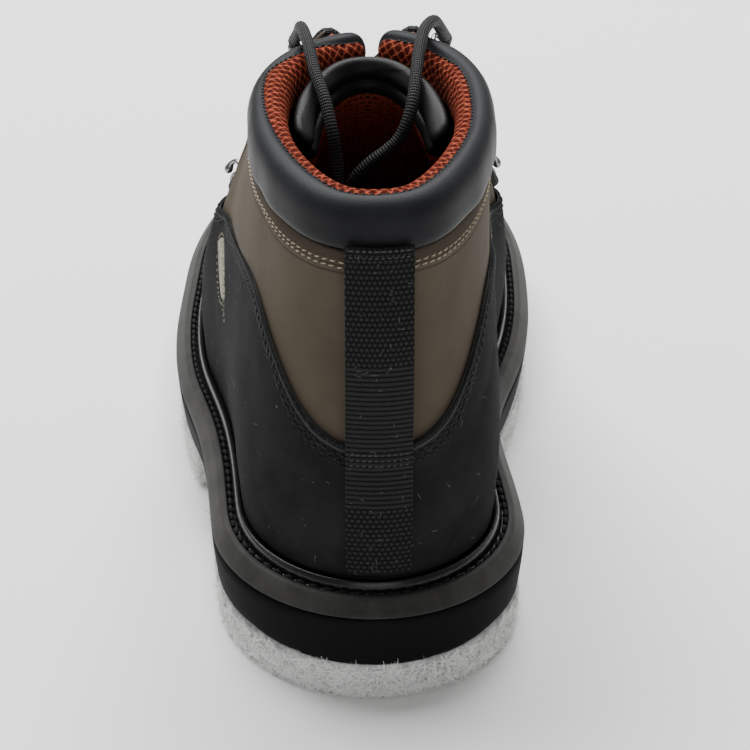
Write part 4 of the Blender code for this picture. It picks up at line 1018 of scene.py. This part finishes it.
# Insole: a black foam footbed with a fabric face, cut to the boot's inside and laid in loose. It keeps the
# shape of its CAD node and only takes a material.
footbed, _ = new_material("footbed", 0.9, (0.010, 0.010, 0.010))
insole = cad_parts["insole"]
insole.data.materials.clear()
insole.data.materials.append(footbed)

# Welt: dark grey moulded rubber with a glossy bead. Coarse black thread lies in its groove, where it is sewn
# through to the midsole.
welt = clean_copy("welt", "welt_strip")
welt_lip = 0.0006
welt_edge = rim_rings(welt, welt_lip)[0]
subdivide(welt, hold=0.55, angle=30)
store(welt, "inset", distance_to(welt, welt_edge, flat=True))
welt_rubber, tree = new_material("welt_rubber", 0.5, specular=0.12)
colour = clouded(tree, 90, (0.026, 0.0255, 0.024), (0.040, 0.039, 0.037))
bead = between(attribute(tree, "inset"), 0.0048, 0.0054)
colour = mix(bead, colour, (0.0085, 0.0085, 0.0085))
roughness = between(bead, 0.0, 1.0, 0.55, 0.26)
level = between(bead, 0.0, 1.0, 0.10, 0.35)
connect(tree, Roughness=roughness, Specular_IOR_Level=level)
connect(tree, Base_Color=colour, Normal=bump(noise(tree, 1100, 3), 0.00006))
welt.data.materials.append(welt_rubber)
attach(welt, "root")
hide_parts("welt")

groove_in = 0.0061
path, _ = smooth_path(welt_edge, 0.0015, closed=True)
inward = left_of(np.roll(path, -4, axis=0) - np.roll(path, 4, axis=0))
if ((path.mean(axis=0) - path) * inward).sum() < 0:
    inward = -inward
starts = path + inward * groove_in + np.array([0, 0, 0.02])
spots, _ = cast_onto(surface_of(welt), starts, (0, 0, -1))
spots = np.vstack([spots, spots[:1]])
rows = [(spots + np.array([0, 0, 0.0005]), np.tile([0.0, 0.0, 1.0], (len(spots), 1)))]
welt_thread = thread_material("welt_thread", (0.010, 0.010, 0.010), 0.6)
stitches("welt_thread", rows, 0.0044, 0.0042, 0.0015, welt_thread, slant=0.14)

# Midsole: one unit of smooth matt black rubber with the heel and the arch, moulded, and cemented between the
# welt and the two felt pads.
midsole_rubber, tree = new_material("midsole_rubber", 0.6, (0.0075, 0.0075, 0.0075), 0.02)
connect(tree, Normal=bump(noise(tree, 900, 3), 0.00008))
midsole = clean_copy("midsole", "midsole_rubber_unit", midsole_rubber)
subdivide(midsole, hold=0.9, angle=40)
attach(midsole, "root")
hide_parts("midsole")

# Felt pads: off-white pressed fibre felt, 11 mm thick, cemented under the heel and the forefoot. It is cut with
# a knife, so that fibres stand out of its edge.
felt, tree = new_material("felt", 0.95, specular=0.1, Sheen_Weight=0.3)
fibres = noise(tree, 420, 6, 0.75)
soiled = noise(tree, 55, 5, 0.7)
colour = mix(between(fibres, 0.35, 0.65), (0.46, 0.46, 0.45), (0.80, 0.80, 0.79))
colour = mix(between(soiled, 0.58, 0.78, 0.0, 0.45), colour, (0.28, 0.28, 0.275))
# A dark spot low at the back of the heel pad, on the medial side near the floor, broken up by the soiling noise: a
# painted shadow.
shadow_centre = (0.0185, -0.042, 0.0065)
gap = joined("ShaderNodeVectorMath", {0: own_place(tree), 1: shadow_centre}, operation="DISTANCE").outputs["Value"]
painted_shadow = times(between(gap, 0.009, 0.002), between(soiled, 0.35, 0.6))
colour = mix(times(painted_shadow, 0.75), colour, (0.10, 0.10, 0.10))
connect(tree, Base_Color=colour, Normal=bump(fibres, 0.0009))
fibre, _ = new_material("felt_fibre", 0.7, (0.93, 0.93, 0.92), 0.2)
grey_fibre, _ = new_material("felt_grey_fibre", 0.7, (0.42, 0.42, 0.415), 0.1)


def cut_edge(spot, normal):
    """Whether a face belongs to the side of a pad."""
    return abs(normal[2]) < 0.6 and 0.0008 < spot[2] < 0.0095


def low_edge(spot, normal):
    """Whether a face belongs to the side of a pad, near the floor."""
    return abs(normal[2]) < 0.6 and 0.0004 < spot[2] < 0.0040


for word in ("heel", "forefoot"):
    pad = clean_copy(f"{word}_felt", f"{word}_felt_pad", felt)
    subdivide(pad, hold=0.9, angle=40)
    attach(pad, "root")
    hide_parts(f"{word}_felt")
    hairs(f"{word}_felt_fibres", pad, cut_edge, 9000, 0.0036, 0.00024, 0.0010, fibre, 6)
    hairs(f"{word}_felt_grey_fibres", pad, cut_edge, 2800, 0.0030, 0.00020, 0.0010, grey_fibre, 8)
    hairs(f"{word}_felt_fringe", pad, low_edge, 1500, 0.0040, 0.00018, 0.0024, fibre, 7)
